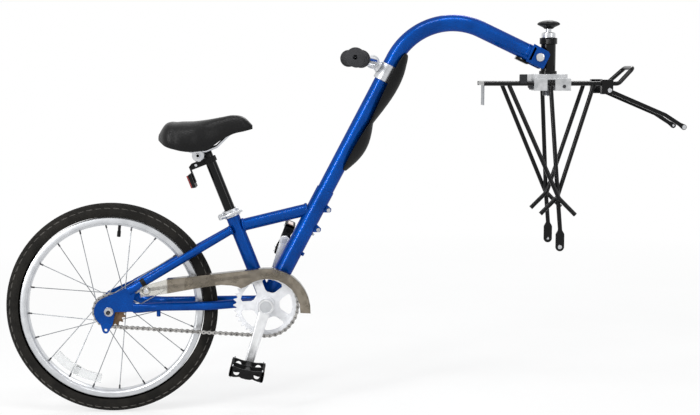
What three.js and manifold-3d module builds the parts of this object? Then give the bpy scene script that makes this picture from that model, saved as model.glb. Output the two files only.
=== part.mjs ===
// A child's trailer bike with its hitch rack. Millimetres, +X forward, +Y to the rider's left, +Z up.
// The origin lies midway between the two bolts that hold the rack's feet.
import * as THREE from 'three';
import { mergeVertices } from 'three/addons/utils/BufferGeometryUtils.js';
import Module from 'manifold-3d';

const wasm = await Module();
wasm.setup();

// Clearances shared by all pieces
const seat_gap = 0.3;
const overrun = 6;

// Driving dimensions of the wheel and of the layout
const bead_diameter = 406;
const tyre_height = 44.5;
const tyre_width = 47;
const feet_above_ground = 396;
const axle_behind_feet = 1033;
const bb_above_axle = 12;
const chain_pitch = 12.7;
const ring_teeth = 36;
const sprocket_teeth = 18;
const chain_centres = 360.1;
const seat_tube_angle = 111.2;
const down_tube_angle = 62.3;
const stem_behind_feet = 20;

// Tubes of the frame
const seat_tube_radius = 15.9;
const seat_tube_length = 232;
const tube_wall = 1.6;
const post_radius = 12.7;
const post_bottom = 140;
const post_shoulder = 356;
const top_tube_radius = 14.3;
const top_tube_below_collar = 42;
const top_tube_below_sleeve_end = 47;
const boom_radius = 19.05;
const sleeve_length = 297;
const boom_in_sleeve = 147;
const shell_radius = 20;
const shell_width = 68;
const chainstay_radius = 10;
const chainstay_wide = 37;
const chainstay_narrow = 23;
const seatstay_radius = 9;
const seatstay_top_offset = 13;
const dropout_spacing = 110;
const dropout_thickness = 4;
const dropout_lobe = 34;

// Places that follow from the tubes
const top_tube_on_seat_tube = seat_tube_length - top_tube_below_collar;
const top_tube_on_down_tube = sleeve_length - top_tube_below_sleeve_end;
const boom_bottom = sleeve_length - boom_in_sleeve;

// Boom above the frame
const boom_bend_radius = 152;
const boom_drop_angle = -25.5;
const pitch_bolt_behind_stem = 23;
const pitch_bolt_above_platform = 59.5;
const pitch_bolt_radius = 6;

// Rack
const platform_height = 372;
const rail_radius = 5;
const rail_spread = 55;
const foot_spread = 75;
const rail_rear = 176;
const rail_front = 100;

const tyre_radius = bead_diameter / 2 + tyre_height;
const axle = { x: -axle_behind_feet, z: tyre_radius - feet_above_ground };
const bb = { x: axle.x + Math.sqrt(chain_centres ** 2 - bb_above_axle ** 2), z: axle.z + bb_above_axle };
const steer_x = -stem_behind_feet;
const pitch_bolt_height = platform_height + pitch_bolt_above_platform;

const point = (x, y, z) => new THREE.Vector3(x, y, z);
const radians = (degrees) => degrees * Math.PI / 180;
const heading = (degrees) => point(Math.cos(radians(degrees)), 0, Math.sin(radians(degrees)));
const upward = (degrees) => heading(degrees + 90);

// A place found from a start, a direction in side view, a distance along it, one across it and one sideways
function place(start, degrees, along, across = 0, sideways = 0) {
  return point(start.x, 0, start.z)
    .addScaledVector(heading(degrees), along)
    .addScaledVector(upward(degrees), across)
    .add(point(0, sideways, 0));
}

// Builds a geometry from vertices and triangles, with its faces turned outwards
function closed(vertices, triangles) {
  const geometry = new THREE.BufferGeometry();
  geometry.setAttribute('position', new THREE.Float32BufferAttribute(vertices, 3));
  geometry.setIndex(triangles);
  return tidy(geometry);
}

// Merges shared vertices, drops triangles without area and turns an inside-out body the right way
function tidy(source) {
  const bare = source.clone();
  bare.deleteAttribute('normal');
  bare.deleteAttribute('uv');
  const merged = mergeVertices(bare, 1e-4);
  const spots = merged.getAttribute('position');
  const kept = [];
  let volume = 0;
  const [a, b, c] = [new THREE.Vector3(), new THREE.Vector3(), new THREE.Vector3()];
  for (let i = 0; i < merged.index.count; i += 3) {
    const corners = [merged.index.getX(i), merged.index.getX(i + 1), merged.index.getX(i + 2)];
    if (new Set(corners).size < 3) continue;
    a.fromBufferAttribute(spots, corners[0]);
    b.fromBufferAttribute(spots, corners[1]);
    c.fromBufferAttribute(spots, corners[2]);
    volume += a.dot(b.clone().cross(c));
    kept.push(...corners);
  }
  if (volume < 0) kept.reverse();
  merged.setIndex(kept);
  return merged;
}

function solid(geometry) {
  const body = tidy(geometry);
  const vertProperties = new Float32Array(body.getAttribute('position').array);
  const triVerts = new Uint32Array(body.index.array);
  return new wasm.Manifold(new wasm.Mesh({ numProp: 3, vertProperties, triVerts }));
}

function from_solid(body) {
  const mesh = body.getMesh();
  return closed(Array.from(mesh.vertProperties), Array.from(mesh.triVerts));
}

const join = (first, ...others) => from_solid(others.reduce((sum, next) => sum.add(solid(next)),
  solid(first)));
const cut = (first, ...tools) => from_solid(tools.reduce((rest, tool) => rest.subtract(solid(tool)),
  solid(first)));

// A turned body: the profile's pairs are radius and distance along the line from start towards end
function turned(start, end, profile, sides = 12) {
  const shape = profile.map(([radius, distance]) => new THREE.Vector2(radius, distance));
  const geometry = new THREE.LatheGeometry(shape, sides);
  const direction = end.clone().sub(start).normalize();
  const quaternion = new THREE.Quaternion().setFromUnitVectors(point(0, 1, 0), direction);
  geometry.applyQuaternion(quaternion);
  geometry.translate(start.x, start.y, start.z);
  return tidy(geometry);
}

// A straight rod, or a tube where it has an inner radius
function rod(start, end, outer, inner = 0, sides = 12) {
  const length = end.distanceTo(start);
  const bore = [[inner, 0], [outer, 0], [outer, length], [inner, length]];
  return turned(start, end, inner ? [...bore, bore[0]] : bore, sides);
}

// A rod along Y about a place in side view
const cross_rod = (centre, from_y, to_y, outer, inner = 0, sides = 12) =>
  rod(point(centre.x, from_y, centre.z), point(centre.x, to_y, centre.z), outer, inner, sides);

// A flat plate in the side view: its outline's pairs are x and z, and it fills from_y to to_y
function plate(outline, from_y, to_y, holes = []) {
  const shape = new THREE.Shape(outline.map(([x, z]) => new THREE.Vector2(x, z)));
  for (const { centre, radius } of holes) {
    const hole = new THREE.Path();
    hole.absarc(centre.x, centre.z, radius, 0, 2 * Math.PI, true);
    shape.holes.push(hole);
  }
  const geometry = new THREE.ExtrudeGeometry(shape, {
    depth: Math.abs(to_y - from_y), bevelEnabled: false, curveSegments: 6,
  });
  geometry.rotateX(Math.PI / 2);
  geometry.translate(0, Math.max(from_y, to_y), 0);
  return tidy(geometry);
}

// A block between two corners
function block(low, high) {
  const size = high.clone().sub(low);
  const middle = low.clone().add(high).multiplyScalar(1 / 2);
  const geometry = new THREE.BoxGeometry(size.x, size.y, size.z);
  geometry.translate(middle.x, middle.y, middle.z);
  return tidy(geometry);
}

// The bore that clears a rod of so many sides at any turn
const faceted_bore = (radius, sides) => radius / Math.cos(Math.PI / sides) + seat_gap;

// Points of an arc in side view, from one angle to another in degrees
function arc(centre, radius, from, to, steps) {
  return Array.from({ length: steps + 1 }, (_, i) => {
    const spot = place(centre, from + (to - from) * i / steps, radius);
    return [spot.x, spot.z];
  });
}

// The corners of a bent rod rounded to one bend radius
function rounded(corners, bend, steps = 4) {
  const path = [corners[0]];
  for (let i = 1; i < corners.length - 1; i += 1) {
    const before = corners[i - 1].clone().sub(corners[i]).normalize();
    const after = corners[i + 1].clone().sub(corners[i]).normalize();
    const half = before.angleTo(after) / 2;
    const setback = bend / Math.tan(half);
    const centre = before.clone().add(after).normalize()
      .multiplyScalar(bend / Math.sin(half)).add(corners[i]);
    const first = corners[i].clone().addScaledVector(before, setback).sub(centre);
    const last = corners[i].clone().addScaledVector(after, setback).sub(centre);
    const sweep = first.angleTo(last);
    for (let k = 0; k <= steps; k += 1) {
      const share = k / steps;
      const spot = first.clone().multiplyScalar(Math.sin((1 - share) * sweep) / Math.sin(sweep))
        .addScaledVector(last, Math.sin(share * sweep) / Math.sin(sweep));
      path.push(spot.add(centre));
    }
  }
  path.push(corners[corners.length - 1]);
  return path;
}

// Rings of points round a path, turned as little as possible from one to the next
function rings(path, radius, sides) {
  const tangent = (i) => {
    const ahead = path[Math.min(i + 1, path.length - 1)].clone().sub(path[i]).normalize();
    const behind = path[i].clone().sub(path[Math.max(i - 1, 0)]).normalize();
    return ahead.add(behind).normalize();
  };
  let normal = Math.abs(tangent(0).y) > 0.9 ? point(0, 0, 1) : point(0, 1, 0);
  return path.map((centre, i) => {
    const along = tangent(i);
    normal = normal.clone().addScaledVector(along, -normal.dot(along)).normalize();
    const third = along.clone().cross(normal);
    return Array.from({ length: sides }, (_, k) => centre.clone()
      .addScaledVector(normal, radius * Math.cos(2 * Math.PI * k / sides))
      .addScaledVector(third, radius * Math.sin(2 * Math.PI * k / sides)));
  });
}

// A closed body through rings of points, with flat fans on its two ends
function loft(sections) {
  const count = sections[0].length;
  const vertices = sections.flat().flatMap((spot) => [spot.x, spot.y, spot.z]);
  const triangles = [];
  for (let i = 0; i < sections.length - 1; i += 1) {
    for (let k = 0; k < count; k += 1) {
      const next = (k + 1) % count;
      const [a, b] = [i * count + k, i * count + next];
      triangles.push(a, b, b + count, a, b + count, a + count);
    }
  }
  const last = (sections.length - 1) * count;
  for (let k = 1; k < count - 1; k += 1) {
    triangles.push(0, k + 1, k, last, last + k, last + k + 1);
  }
  return closed(vertices, triangles);
}

// A bent solid rod
const bent_rod = (path, radius, sides = 10) => loft(rings(path, radius, sides));

// A bent tube with open ends
function bent_tube(path, outer, wall, sides) {
  const [outside, inside] = [rings(path, outer, sides), rings(path, outer - wall, sides)];
  const vertices = [...outside, ...inside].flat().flatMap((spot) => [spot.x, spot.y, spot.z]);
  const inner = path.length * sides;
  const triangles = [];
  for (let i = 0; i < path.length - 1; i += 1) {
    for (let k = 0; k < sides; k += 1) {
      const next = (k + 1) % sides;
      const [a, b] = [i * sides + k, i * sides + next];
      triangles.push(a, b, b + sides, a, b + sides, a + sides);
      triangles.push(inner + a, inner + b + sides, inner + b, inner + a, inner + a + sides,
        inner + b + sides);
    }
  }
  const last = (path.length - 1) * sides;
  for (let k = 0; k < sides; k += 1) {
    const next = (k + 1) % sides;
    triangles.push(k, inner + next, next, k, inner + k, inner + next);
    triangles.push(last + k, last + next, inner + last + next, last + k, inner + last + next,
      inner + last + k);
  }
  return closed(vertices, triangles);
}

const finishes = {
  blue_enamel: { color: 0x0d45b0, roughness: 0.25, metalness: 0.4 },
  black_enamel: { color: 0x101112, roughness: 0.3, metalness: 0.3 },
  black_plastic: { color: 0x1a1a1b, roughness: 0.55, metalness: 0 },
  smoky_plastic: { color: 0x8a8070, roughness: 0.25, metalness: 0 },
  red_plastic: { color: 0xb01818, roughness: 0.15, metalness: 0 },
  rubber: { color: 0x2a2826, roughness: 0.8, metalness: 0 },
  grip_rubber: { color: 0x37383b, roughness: 0.7, metalness: 0 },
  aluminium: { color: 0xb9bcc0, roughness: 0.3, metalness: 1 },
  steel: { color: 0xc4c6c8, roughness: 0.25, metalness: 1 },
  pale_enamel: { color: 0xe2e3e5, roughness: 0.35, metalness: 0.2 },
  brown_steel: { color: 0x5b4a3a, roughness: 0.45, metalness: 0.8 },
};

const trailer_bike = new THREE.Group();

function add(name, geometry, finish) {
  const mesh = new THREE.Mesh(geometry, new THREE.MeshStandardMaterial(finishes[finish]));
  mesh.name = name;
  trailer_bike.add(mesh);
}

// Both sides of the bike: the drive side faces -Y
const sides_of_bike = [['near', -1], ['far', 1]];

// Wheel
const wheel_steps = 36;
const rim_above_bead = 9;
const rim_below_bead = 9;
const rim_outer = bead_diameter / 2 + rim_above_bead;
const rim_inner = bead_diameter / 2 - rim_below_bead;
const rim_half_width = 15;
const rim_lip = 3;
const tyre_wall = 4;
const tyre_mouth_share = 0.36;

function tyre_profile() {
  const half = tyre_width / 2;
  const middle = tyre_radius - half;
  const mouth = Math.PI * tyre_mouth_share;
  const span = 2 * (Math.PI - mouth);
  const steps = 5;
  const sweep = (radius, i) => {
    const angle = -Math.PI + mouth + span * i / steps;
    return [middle + radius * Math.cos(angle), half + radius * Math.sin(angle)];
  };
  const outside = Array.from({ length: steps + 1 }, (_, i) => sweep(half, i));
  const inside = Array.from({ length: steps + 1 }, (_, i) => sweep(half - tyre_wall, steps - i));
  return [...outside, ...inside, outside[0]];
}
const tyre_start = point(axle.x, -tyre_width / 2, axle.z);
const tyre_end = point(axle.x, tyre_width / 2, axle.z);
add('tyre', turned(tyre_start, tyre_end, tyre_profile(), wheel_steps), 'rubber');

const rim_well = rim_outer - rim_lip;
const rim_profile = [
  [rim_inner, rim_half_width - rim_lip], [rim_well - rim_lip, 0], [rim_outer, 0],
  [rim_well - 2 * rim_lip, 2 * rim_lip], [rim_well - 2 * rim_lip, 2 * (rim_half_width - rim_lip)],
  [rim_outer, 2 * rim_half_width], [rim_well - rim_lip, 2 * rim_half_width], [rim_inner,
    rim_half_width + rim_lip],
];
const rim_start = point(axle.x, -rim_half_width, axle.z);
const rim_end = point(axle.x, rim_half_width, axle.z);
add('rim', turned(rim_start, rim_end, [...rim_profile, rim_profile[0]], wheel_steps), 'aluminium');

const axle_radius = 5;
const hub_waist = 15;
const flange_radius = 27;
const flange_half_gap = 27;
const flange_thickness = 3;
const boss_radius = 12;
const hub_end = 50;
const hub_bore = axle_radius + seat_gap;
const hub_profile = [
  [hub_bore, 0], [boss_radius, 0], [boss_radius, hub_end - flange_half_gap - flange_thickness],
  [flange_radius, hub_end - flange_half_gap - flange_thickness], [flange_radius, hub_end - flange_half_gap],
  [hub_waist, hub_end - flange_half_gap], [hub_waist, hub_end + flange_half_gap],
  [flange_radius, hub_end + flange_half_gap], [flange_radius, hub_end + flange_half_gap + flange_thickness],
  [boss_radius, hub_end + flange_half_gap + flange_thickness], [boss_radius, 2 * hub_end], [hub_bore,
    2 * hub_end],
];
add('hub', turned(point(axle.x, -hub_end, axle.z), point(axle.x, hub_end, axle.z),
  [...hub_profile, hub_profile[0]], 12), 'aluminium');

const spokes_per_side = 10;
const spoke_radius = 1.1;
const spoke_sweep = 720 / spokes_per_side;
const spoke_circle = flange_radius + seat_gap + 1.2 * spoke_radius;
const spoke_root = flange_half_gap + flange_thickness / 2;
const spoke_tip = 4;
const rim_facet = rim_inner * Math.cos(Math.PI / wheel_steps);

// Ten tangent spokes of one side, each crossing two others, which tie them into one laced fan
function laced_spokes(side, phase) {
  const pitch = 360 / spokes_per_side;
  const spokes = Array.from({ length: spokes_per_side }, (_, i) => {
    const lean = i % 2 ? -spoke_sweep : spoke_sweep;
    const root = place(axle, phase + pitch * i, spoke_circle, 0, side * spoke_root);
    const tip = place(axle, phase + pitch * i + lean, rim_facet - seat_gap, 0, side * spoke_tip);
    return rod(root, tip, spoke_radius, 0, 3);
  });
  return join(...spokes);
}
const spoke_phase = 3.6;
for (const [name, side] of sides_of_bike) {
  add(`spokes_${name}`, laced_spokes(side, spoke_phase + (side > 0 ? 180 / spokes_per_side : 0)), 'steel');
}

// Axle with its cones and nuts
const dropout_inner = dropout_spacing / 2;
const dropout_outer = dropout_inner + dropout_thickness;
const cone_radius = 9;
const nut_radius = 11;
const nut_height = 9;
const axle_stub = 4;
const axle_end = dropout_outer + nut_height + axle_stub;
const cones = sides_of_bike.flatMap(([, side]) => [
  cross_rod(axle, side * (hub_end + seat_gap), side * (dropout_inner - seat_gap), cone_radius, 0, 12),
  cross_rod(axle, side * (dropout_outer + seat_gap), side * (dropout_outer + seat_gap + nut_height),
    nut_radius, 0, 6),
]);
add('wheel_axle', join(cross_rod(axle, -axle_end, axle_end, axle_radius, 0, 12), ...cones), 'steel');

// Sprocket, chain and chainring
const chain_line = 44;
const tooth_thickness = 2.6;
const freewheel_radius = 21;
const freewheel_clear_of_flange = 2;
const ring_radius = chain_pitch / 2 / Math.sin(Math.PI / ring_teeth);
const sprocket_radius = chain_pitch / 2 / Math.sin(Math.PI / sprocket_teeth);
const tooth_tip = 3.2;
const tooth_root = 4;
const tooth_root_share = 0.34;

function toothed_outline(centre, teeth, pitch_radius, phase) {
  return Array.from({ length: teeth }, (_, i) => {
    const at = (share, radius) => place(centre, phase + 360 * (i + share) / teeth, radius);
    return [
      at(-tooth_root_share, pitch_radius - tooth_root), at(0, pitch_radius + tooth_tip),
      at(tooth_root_share, pitch_radius - tooth_root),
    ].map((spot) => [spot.x, spot.z]);
  }).flat();
}
const ring_near = -chain_line - tooth_thickness / 2;
const ring_far = -chain_line + tooth_thickness / 2;
const sprocket_plate = plate(toothed_outline(axle, sprocket_teeth, sprocket_radius, 0), ring_near,
  ring_far);
const freewheel_near = -hub_end + seat_gap;
const freewheel_far = -flange_half_gap - flange_thickness - 2 * spoke_radius - 3 * seat_gap
  - freewheel_clear_of_flange;
const freewheel = cross_rod(axle, freewheel_near, freewheel_far, freewheel_radius, 0, 16);
const freewheel_bore = cross_rod(axle, -hub_end - overrun, hub_end, boss_radius + seat_gap, 0, 16);
add('sprocket', cut(join(sprocket_plate, freewheel), freewheel_bore), 'brown_steel');

const crank_boss_radius = 14;
const window_count = 5;
const window_turn = -106;
const window_inner = 28;
const window_outer = 58;
const window_half_angle = 25;
const window_foot_share = 0.8;
const ring_windows = Array.from({ length: window_count }, (_, i) => {
  const middle = 360 * (i + 1 / 2) / window_count + window_turn;
  return plate([
    ...arc(bb, window_outer, middle - window_half_angle, middle + window_half_angle, 4),
    ...arc(bb, window_inner, middle + window_half_angle * window_foot_share,
      middle - window_half_angle * window_foot_share, 2),
  ], ring_near - overrun, ring_far + overrun);
});
const ring_plate = plate(toothed_outline(bb, ring_teeth, ring_radius, 0), ring_near, ring_far);
const ring_bore = cross_rod(bb, ring_near - overrun, ring_far + overrun, crank_boss_radius + seat_gap, 0,
  12);
add('chainring', cut(ring_plate, ring_bore, ...ring_windows), 'pale_enamel');

const link_height = 8;
const link_thickness = 1;
const link_offset = 3.2;
const roller_radius = 3.8;
const rollers_per_run = 4;
const run_slope = THREE.MathUtils.radToDeg(Math.asin((ring_radius - sprocket_radius) / chain_centres));
const centre_slope = THREE.MathUtils.radToDeg(Math.asin(bb_above_axle / chain_centres));

// The chain's loop at a distance outside its pitch line
function chain_loop(outset) {
  const top = 90 + centre_slope + run_slope;
  const bottom = -90 + centre_slope - run_slope;
  return [
    ...arc(bb, ring_radius + outset, bottom, top, 10),
    ...arc(axle, sprocket_radius + outset, top, bottom + 360, 6),
  ];
}
function chain_side(side) {
  const shape = new THREE.Shape(chain_loop(link_height / 2).map(([x, z]) => new THREE.Vector2(x, z)));
  shape.holes.push(new THREE.Path(chain_loop(-link_height / 2).map(([x, z]) => new THREE.Vector2(x, z))));
  const geometry = new THREE.ExtrudeGeometry(shape, { depth: link_thickness, bevelEnabled: false });
  geometry.rotateX(Math.PI / 2);
  geometry.translate(0, -chain_line + side * link_offset + link_thickness / 2, 0);
  return tidy(geometry);
}
const chain_rollers = [1, -1].flatMap((run) => Array.from({ length: rollers_per_run }, (_, i) => {
  const share = (i + 1) / (rollers_per_run + 1);
  const from = place(axle, run * (90 + run_slope) + centre_slope, sprocket_radius);
  const to = place(bb, run * (90 + run_slope) + centre_slope, ring_radius);
  const spot = from.lerp(to, share);
  return cross_rod(spot, -chain_line - link_offset, -chain_line + link_offset, roller_radius, 0, 6);
}));
add('chain', join(chain_side(-1), chain_side(1), ...chain_rollers), 'brown_steel');

// Cranks and pedals
const crank_length = 140;
const crank_angle = -106.9;
const spindle_radius = 8;
const crank_inner = 64;
const crank_thickness = 12;
const crank_root_half = 14.3;
const crank_clear_of_shell = 4;
const spindle_recess = 4;
const crank_tip_half = 10;
const pedal_spindle_radius = 4.5;
const pedal_gap = 2;
const pedal_width = 88;
const pedal_length = 78;
const pedal_height = 24;
const pedal_tilt = -12;
const pedal_quarter = 80;
const pedal_barrel_share = 0.9;
const pedal_corner_shares = { along: 0.8, across: 0.6 };
const pedal_wall = 8;
const crank_outer = crank_inner + crank_thickness;
const spindle_end = crank_outer - spindle_recess;

function crank(side, degrees) {
  const tip = place(bb, degrees, crank_length);
  const outline = [
    ...arc(bb, crank_root_half, degrees + 100, degrees + 260, 6),
    ...arc(tip, crank_tip_half, degrees - 90, degrees + 90, 6),
  ];
  const arm = plate(outline, side * crank_inner, side * crank_outer);
  const inner_end = side < 0 ? -ring_far : shell_width / 2 + crank_clear_of_shell;
  const boss = cross_rod(bb, side * inner_end, side * (crank_outer - overrun), crank_boss_radius, 0, 12);
  const spindle_tip = crank_outer + pedal_gap + pedal_width * pedal_barrel_share;
  const spindle = cross_rod(tip, side * (crank_outer - overrun), side * spindle_tip, pedal_spindle_radius,
    0, 8);
  const bore = cross_rod(bb, side * (inner_end - overrun), side * (spindle_end + seat_gap),
    spindle_radius + seat_gap, 0, 12);
  return cut(join(arm, boss, spindle), bore);
}
add('crank_right', crank(-1, crank_angle), 'aluminium');
add('crank_left', crank(1, crank_angle + 180), 'aluminium');
add('crank_spindle', cross_rod(bb, -spindle_end, spindle_end, spindle_radius, 0, 12), 'steel');

// A pedal: a cage frame round a barrel that turns on the crank's spindle
function pedal(side, degrees, tilt) {
  const centre = place(bb, degrees, crank_length);
  const from = side * (crank_outer + pedal_gap);
  const to = side * (crank_outer + pedal_gap + pedal_width);
  const corner = (along, across) => {
    const spot = place(centre, tilt, along, across);
    return [spot.x, spot.z];
  };
  const [length, height] = [pedal_length / 2, pedal_height / 2];
  const [drawn_length, drawn_height] = [length * pedal_corner_shares.along,
    height * pedal_corner_shares.across];
  const outline = [corner(-length, -drawn_height), corner(-drawn_length, -height), corner(drawn_length,
    -height),
    corner(length, -drawn_height), corner(length, drawn_height), corner(drawn_length, height),
    corner(-drawn_length, height), corner(-length, drawn_height)];
  const wall = pedal_wall;
  const windows = [-1, 1].map((end) => plate([corner(end * wall, -2 * height),
    corner(end * (length - wall), -2 * height),
    corner(end * (length - wall), 2 * height), corner(end * wall, 2 * height)], from + side * wall,
      to - side * wall));
  const bore = cross_rod(centre, from - side * overrun,
    from + side * (pedal_width * pedal_barrel_share + seat_gap),
    faceted_bore(pedal_spindle_radius, 8), 0, 8);
  return cut(plate(outline, from, to), ...windows, bore);
}
add('pedal_right', pedal(-1, crank_angle, pedal_tilt), 'black_plastic');
add('pedal_left', pedal(1, crank_angle + 180, pedal_tilt + pedal_quarter), 'black_plastic');

// Frame tubes
const shell = cross_rod(bb, -shell_width / 2, shell_width / 2, shell_radius,
  spindle_radius + 2 * seat_gap, 16);
add('bottom_bracket_shell', shell, 'blue_enamel');
const shell_clear = cross_rod(bb, -shell_width, shell_width, shell_radius + seat_gap, 0, 16);

const on_seat_tube = (distance, across = 0, sideways = 0) => place(bb, seat_tube_angle, distance, across,
  sideways);
const on_down_tube = (distance, across = 0, sideways = 0) => place(bb, down_tube_angle, distance, across,
  sideways);
const sleeve_radius = boom_radius + seat_gap + tube_wall;
const seat_tube_bore = post_radius + seat_gap;
const seat_tube_clear = rod(on_seat_tube(0), on_seat_tube(seat_tube_length + overrun),
  seat_tube_radius + seat_gap);
const sleeve_clear = rod(on_down_tube(0), on_down_tube(sleeve_length), sleeve_radius + seat_gap, 0, 16);
const clear_of_shell = shell_radius / 2;
add('seat_tube', cut(rod(on_seat_tube(clear_of_shell), on_seat_tube(seat_tube_length), seat_tube_radius,
  seat_tube_bore),
  shell_clear, sleeve_clear), 'blue_enamel');

// The down tube is a sleeve that the boom slides into, with two clamp lugs on its front
const lug_from_end = 39;
const lug_pitch = 52;
const lug_places = [sleeve_length - lug_from_end - lug_pitch, sleeve_length - lug_from_end];
const lug_half = 7;
const lug_reach = 15;
const lug_width = 12;
const lugs = lug_places.map((distance) => {
  const outline = [[-lug_half, 0], [lug_half, 0], [lug_half, -lug_reach], [-lug_half, -lug_reach]]
    .map(([along, out]) => on_down_tube(distance + along, out - sleeve_radius + tube_wall / 2));
  return plate(outline.map((spot) => [spot.x, spot.z]), -lug_width / 2, lug_width / 2);
});
const sleeve = join(rod(on_down_tube(clear_of_shell), on_down_tube(sleeve_length), sleeve_radius,
  boom_radius + seat_gap, 16), ...lugs);
const sleeve_bore = rod(on_down_tube(0), on_down_tube(sleeve_length + overrun), boom_radius + seat_gap, 0,
  16);
add('down_tube', cut(sleeve, sleeve_bore, shell_clear), 'blue_enamel');

add('top_tube', cut(rod(on_seat_tube(top_tube_on_seat_tube), on_down_tube(top_tube_on_down_tube),
  top_tube_radius,
  top_tube_radius - tube_wall), seat_tube_clear, sleeve_clear), 'blue_enamel');

// Dropouts, chainstays and seatstays
const stay_join = 56;
const slot_depth = 14;
const chainstay_rise = 8;
const seatstay_meets = { along: 46, up: 48 };
const tyre_side_end = 225;
const chainstay_front = 300;
const chainstay_bend = 30;
const seatstay_bend = 60;
const stay_toe_in = 1;
const slot_cheek_share = 0.8;
const shoulder_share = 1.4;
const slot_clear = dropout_thickness / 2 + seat_gap;
const dropout_middle = dropout_inner + dropout_thickness / 2;
const chainstay_rear = { x: axle.x + stay_join, z: axle.z + chainstay_rise };
const seatstay_rear = { x: axle.x + seatstay_meets.along, z: axle.z + seatstay_meets.up };
const seatstay_top = on_seat_tube(top_tube_on_seat_tube);
const seatstay_angle = THREE.MathUtils.radToDeg(Math.atan2(seatstay_top.z - seatstay_rear.z,
  seatstay_top.x - seatstay_rear.x));
const tab_reach = 43;
const tab_half = 8;
const tab_hole = 3.5;
const tab_angle = -100;
const throat = [[8, -30], [12.3, -11.6], [14, 0]];

for (const [name, side] of sides_of_bike) {
  const outline = [
    ...arc(axle, dropout_lobe, 110, 235, 10),
    ...arc(place(axle, tab_angle, tab_reach), tab_half, -170, -10, 5),
    ...throat.map(([along, up]) => [axle.x + along, axle.z + up]),
    ...[place(chainstay_rear, 0, slot_depth, -chainstay_radius * slot_cheek_share), place(chainstay_rear,
      0, slot_depth,
      chainstay_radius * slot_cheek_share), place(chainstay_rear, 0, 0, chainstay_radius * shoulder_share),
    place(seatstay_rear, seatstay_angle, slot_depth, -seatstay_radius * slot_cheek_share),
    place(seatstay_rear, seatstay_angle, slot_depth, seatstay_radius * slot_cheek_share),
    place(seatstay_rear, seatstay_angle, 0, seatstay_radius)].map((spot) => [spot.x, spot.z]),
  ];
  const holes = [{ centre: axle, radius: axle_radius + seat_gap },
    { centre: place(axle, tab_angle, tab_reach), radius: tab_hole }];
  add(`dropout_${name}`, plate(outline, side * dropout_inner, side * dropout_outer, holes), 'blue_enamel');

  const slot_from = side * (dropout_middle - slot_clear);
  const slot_to = side * (dropout_middle + slot_clear);
  const chain_slot = plate([[-1, -1], [1, -1], [1, 1], [-1, 1]].map(([x, z]) => {
    const spot = place(chainstay_rear, 0, x > 0 ? slot_depth + seat_gap : -overrun,
      z * 2 * chainstay_radius);
    return [spot.x, spot.z];
  }), slot_from, slot_to);
  const chain_path = rounded([
    place(chainstay_rear, 0, 0, 0, side * dropout_middle),
    place(chainstay_rear, 0, slot_depth + overrun, 0, side * (dropout_middle - stay_toe_in)),
    point(axle.x + tyre_side_end / 2, side * chainstay_wide, chainstay_rear.z),
    point(axle.x + tyre_side_end, side * chainstay_wide, chainstay_rear.z),
    point(axle.x + chainstay_front, side * chainstay_narrow, bb.z),
    point(bb.x, side * chainstay_narrow, bb.z),
  ], chainstay_bend, 1);
  add(`chainstay_${name}`, cut(bent_tube(chain_path, chainstay_radius, tube_wall, 10), chain_slot,
    shell_clear),
    'blue_enamel');

  const seat_slot = plate([[-1, -1], [1, -1], [1, 1], [-1, 1]].map(([x, z]) => {
    const spot = place(seatstay_rear, seatstay_angle, x > 0 ? slot_depth + seat_gap : -overrun,
      z * 2 * seatstay_radius);
    return [spot.x, spot.z];
  }), slot_from, slot_to);
  const stay_path = rounded([
    place(seatstay_rear, seatstay_angle, 0, 0, side * dropout_middle),
    place(seatstay_rear, seatstay_angle, slot_depth + overrun, 0, side * (dropout_middle - stay_toe_in)),
    point(seatstay_top.x, side * seatstay_top_offset, seatstay_top.z),
  ], seatstay_bend, 1);
  add(`seatstay_${name}`, cut(bent_tube(stay_path, seatstay_radius, tube_wall, 10), seat_slot,
    seat_tube_clear),
    'blue_enamel');
}

// Boom
const boom_end_before_bolt = 34;
const boom_bend_steps = 7;
const boom_sides = 16;
const bolt = { x: steer_x - pitch_bolt_behind_stem, z: pitch_bolt_height };

// The bend starts where one arc touches both the down tube's line and the bolt's line
const boom_turn = down_tube_angle - boom_drop_angle;
const bolt_from_bracket = point(bolt.x - bb.x, 0, bolt.z - bb.z);
const corner_on_down_tube = bolt_from_bracket.dot(upward(boom_drop_angle)) / Math.sin(radians(boom_turn));
const boom_bend_start = corner_on_down_tube - boom_bend_radius * Math.tan(radians(boom_turn / 2));
const boom_centre = place(on_down_tube(boom_bend_start), down_tube_angle, 0, -boom_bend_radius);
const boom_path = [on_down_tube(boom_bottom)];
for (let i = 0; i <= boom_bend_steps; i += 1) {
  const angle = down_tube_angle + 90 + (boom_drop_angle - down_tube_angle) * i / boom_bend_steps;
  boom_path.push(place(boom_centre, angle, boom_bend_radius));
}
const boom_end = place(bolt, boom_drop_angle, -boom_end_before_bolt);
boom_path.push(boom_end);
add('boom', bent_tube(boom_path, boom_radius, tube_wall, boom_sides), 'blue_enamel');

// Clevis block: a flared socket face, a web and two cheeks with the pitch bolt through them
const cheek_half_gap = 21;
const cheek_thickness = 5;
const cheek_back = 15;
const cheek_front = 19;
const cheek_half_height = 22;
const cheek_chamfer = 4;
const web_half_height = 15;
const web_back_half = 18;
const web_thickness = 7;
const flare_radius = 19.8;
const flare_into_web = 1;
const on_boom_end = (along, across, sideways = 0) => place(bolt, boom_drop_angle, along, across, sideways);
const flat = (spots) => spots.map((spot) => [spot.x, spot.z]);
const cheek_outline = flat([
  on_boom_end(-cheek_back - web_thickness, -cheek_half_height),
  on_boom_end(cheek_front - cheek_chamfer, -cheek_half_height),
  on_boom_end(cheek_front, cheek_chamfer - cheek_half_height),
  on_boom_end(cheek_front, cheek_half_height - 2 * cheek_chamfer),
  on_boom_end(cheek_front - 2 * cheek_chamfer, cheek_half_height - cheek_chamfer / 2),
  on_boom_end(-cheek_back - web_thickness, cheek_half_height),
]);
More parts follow.
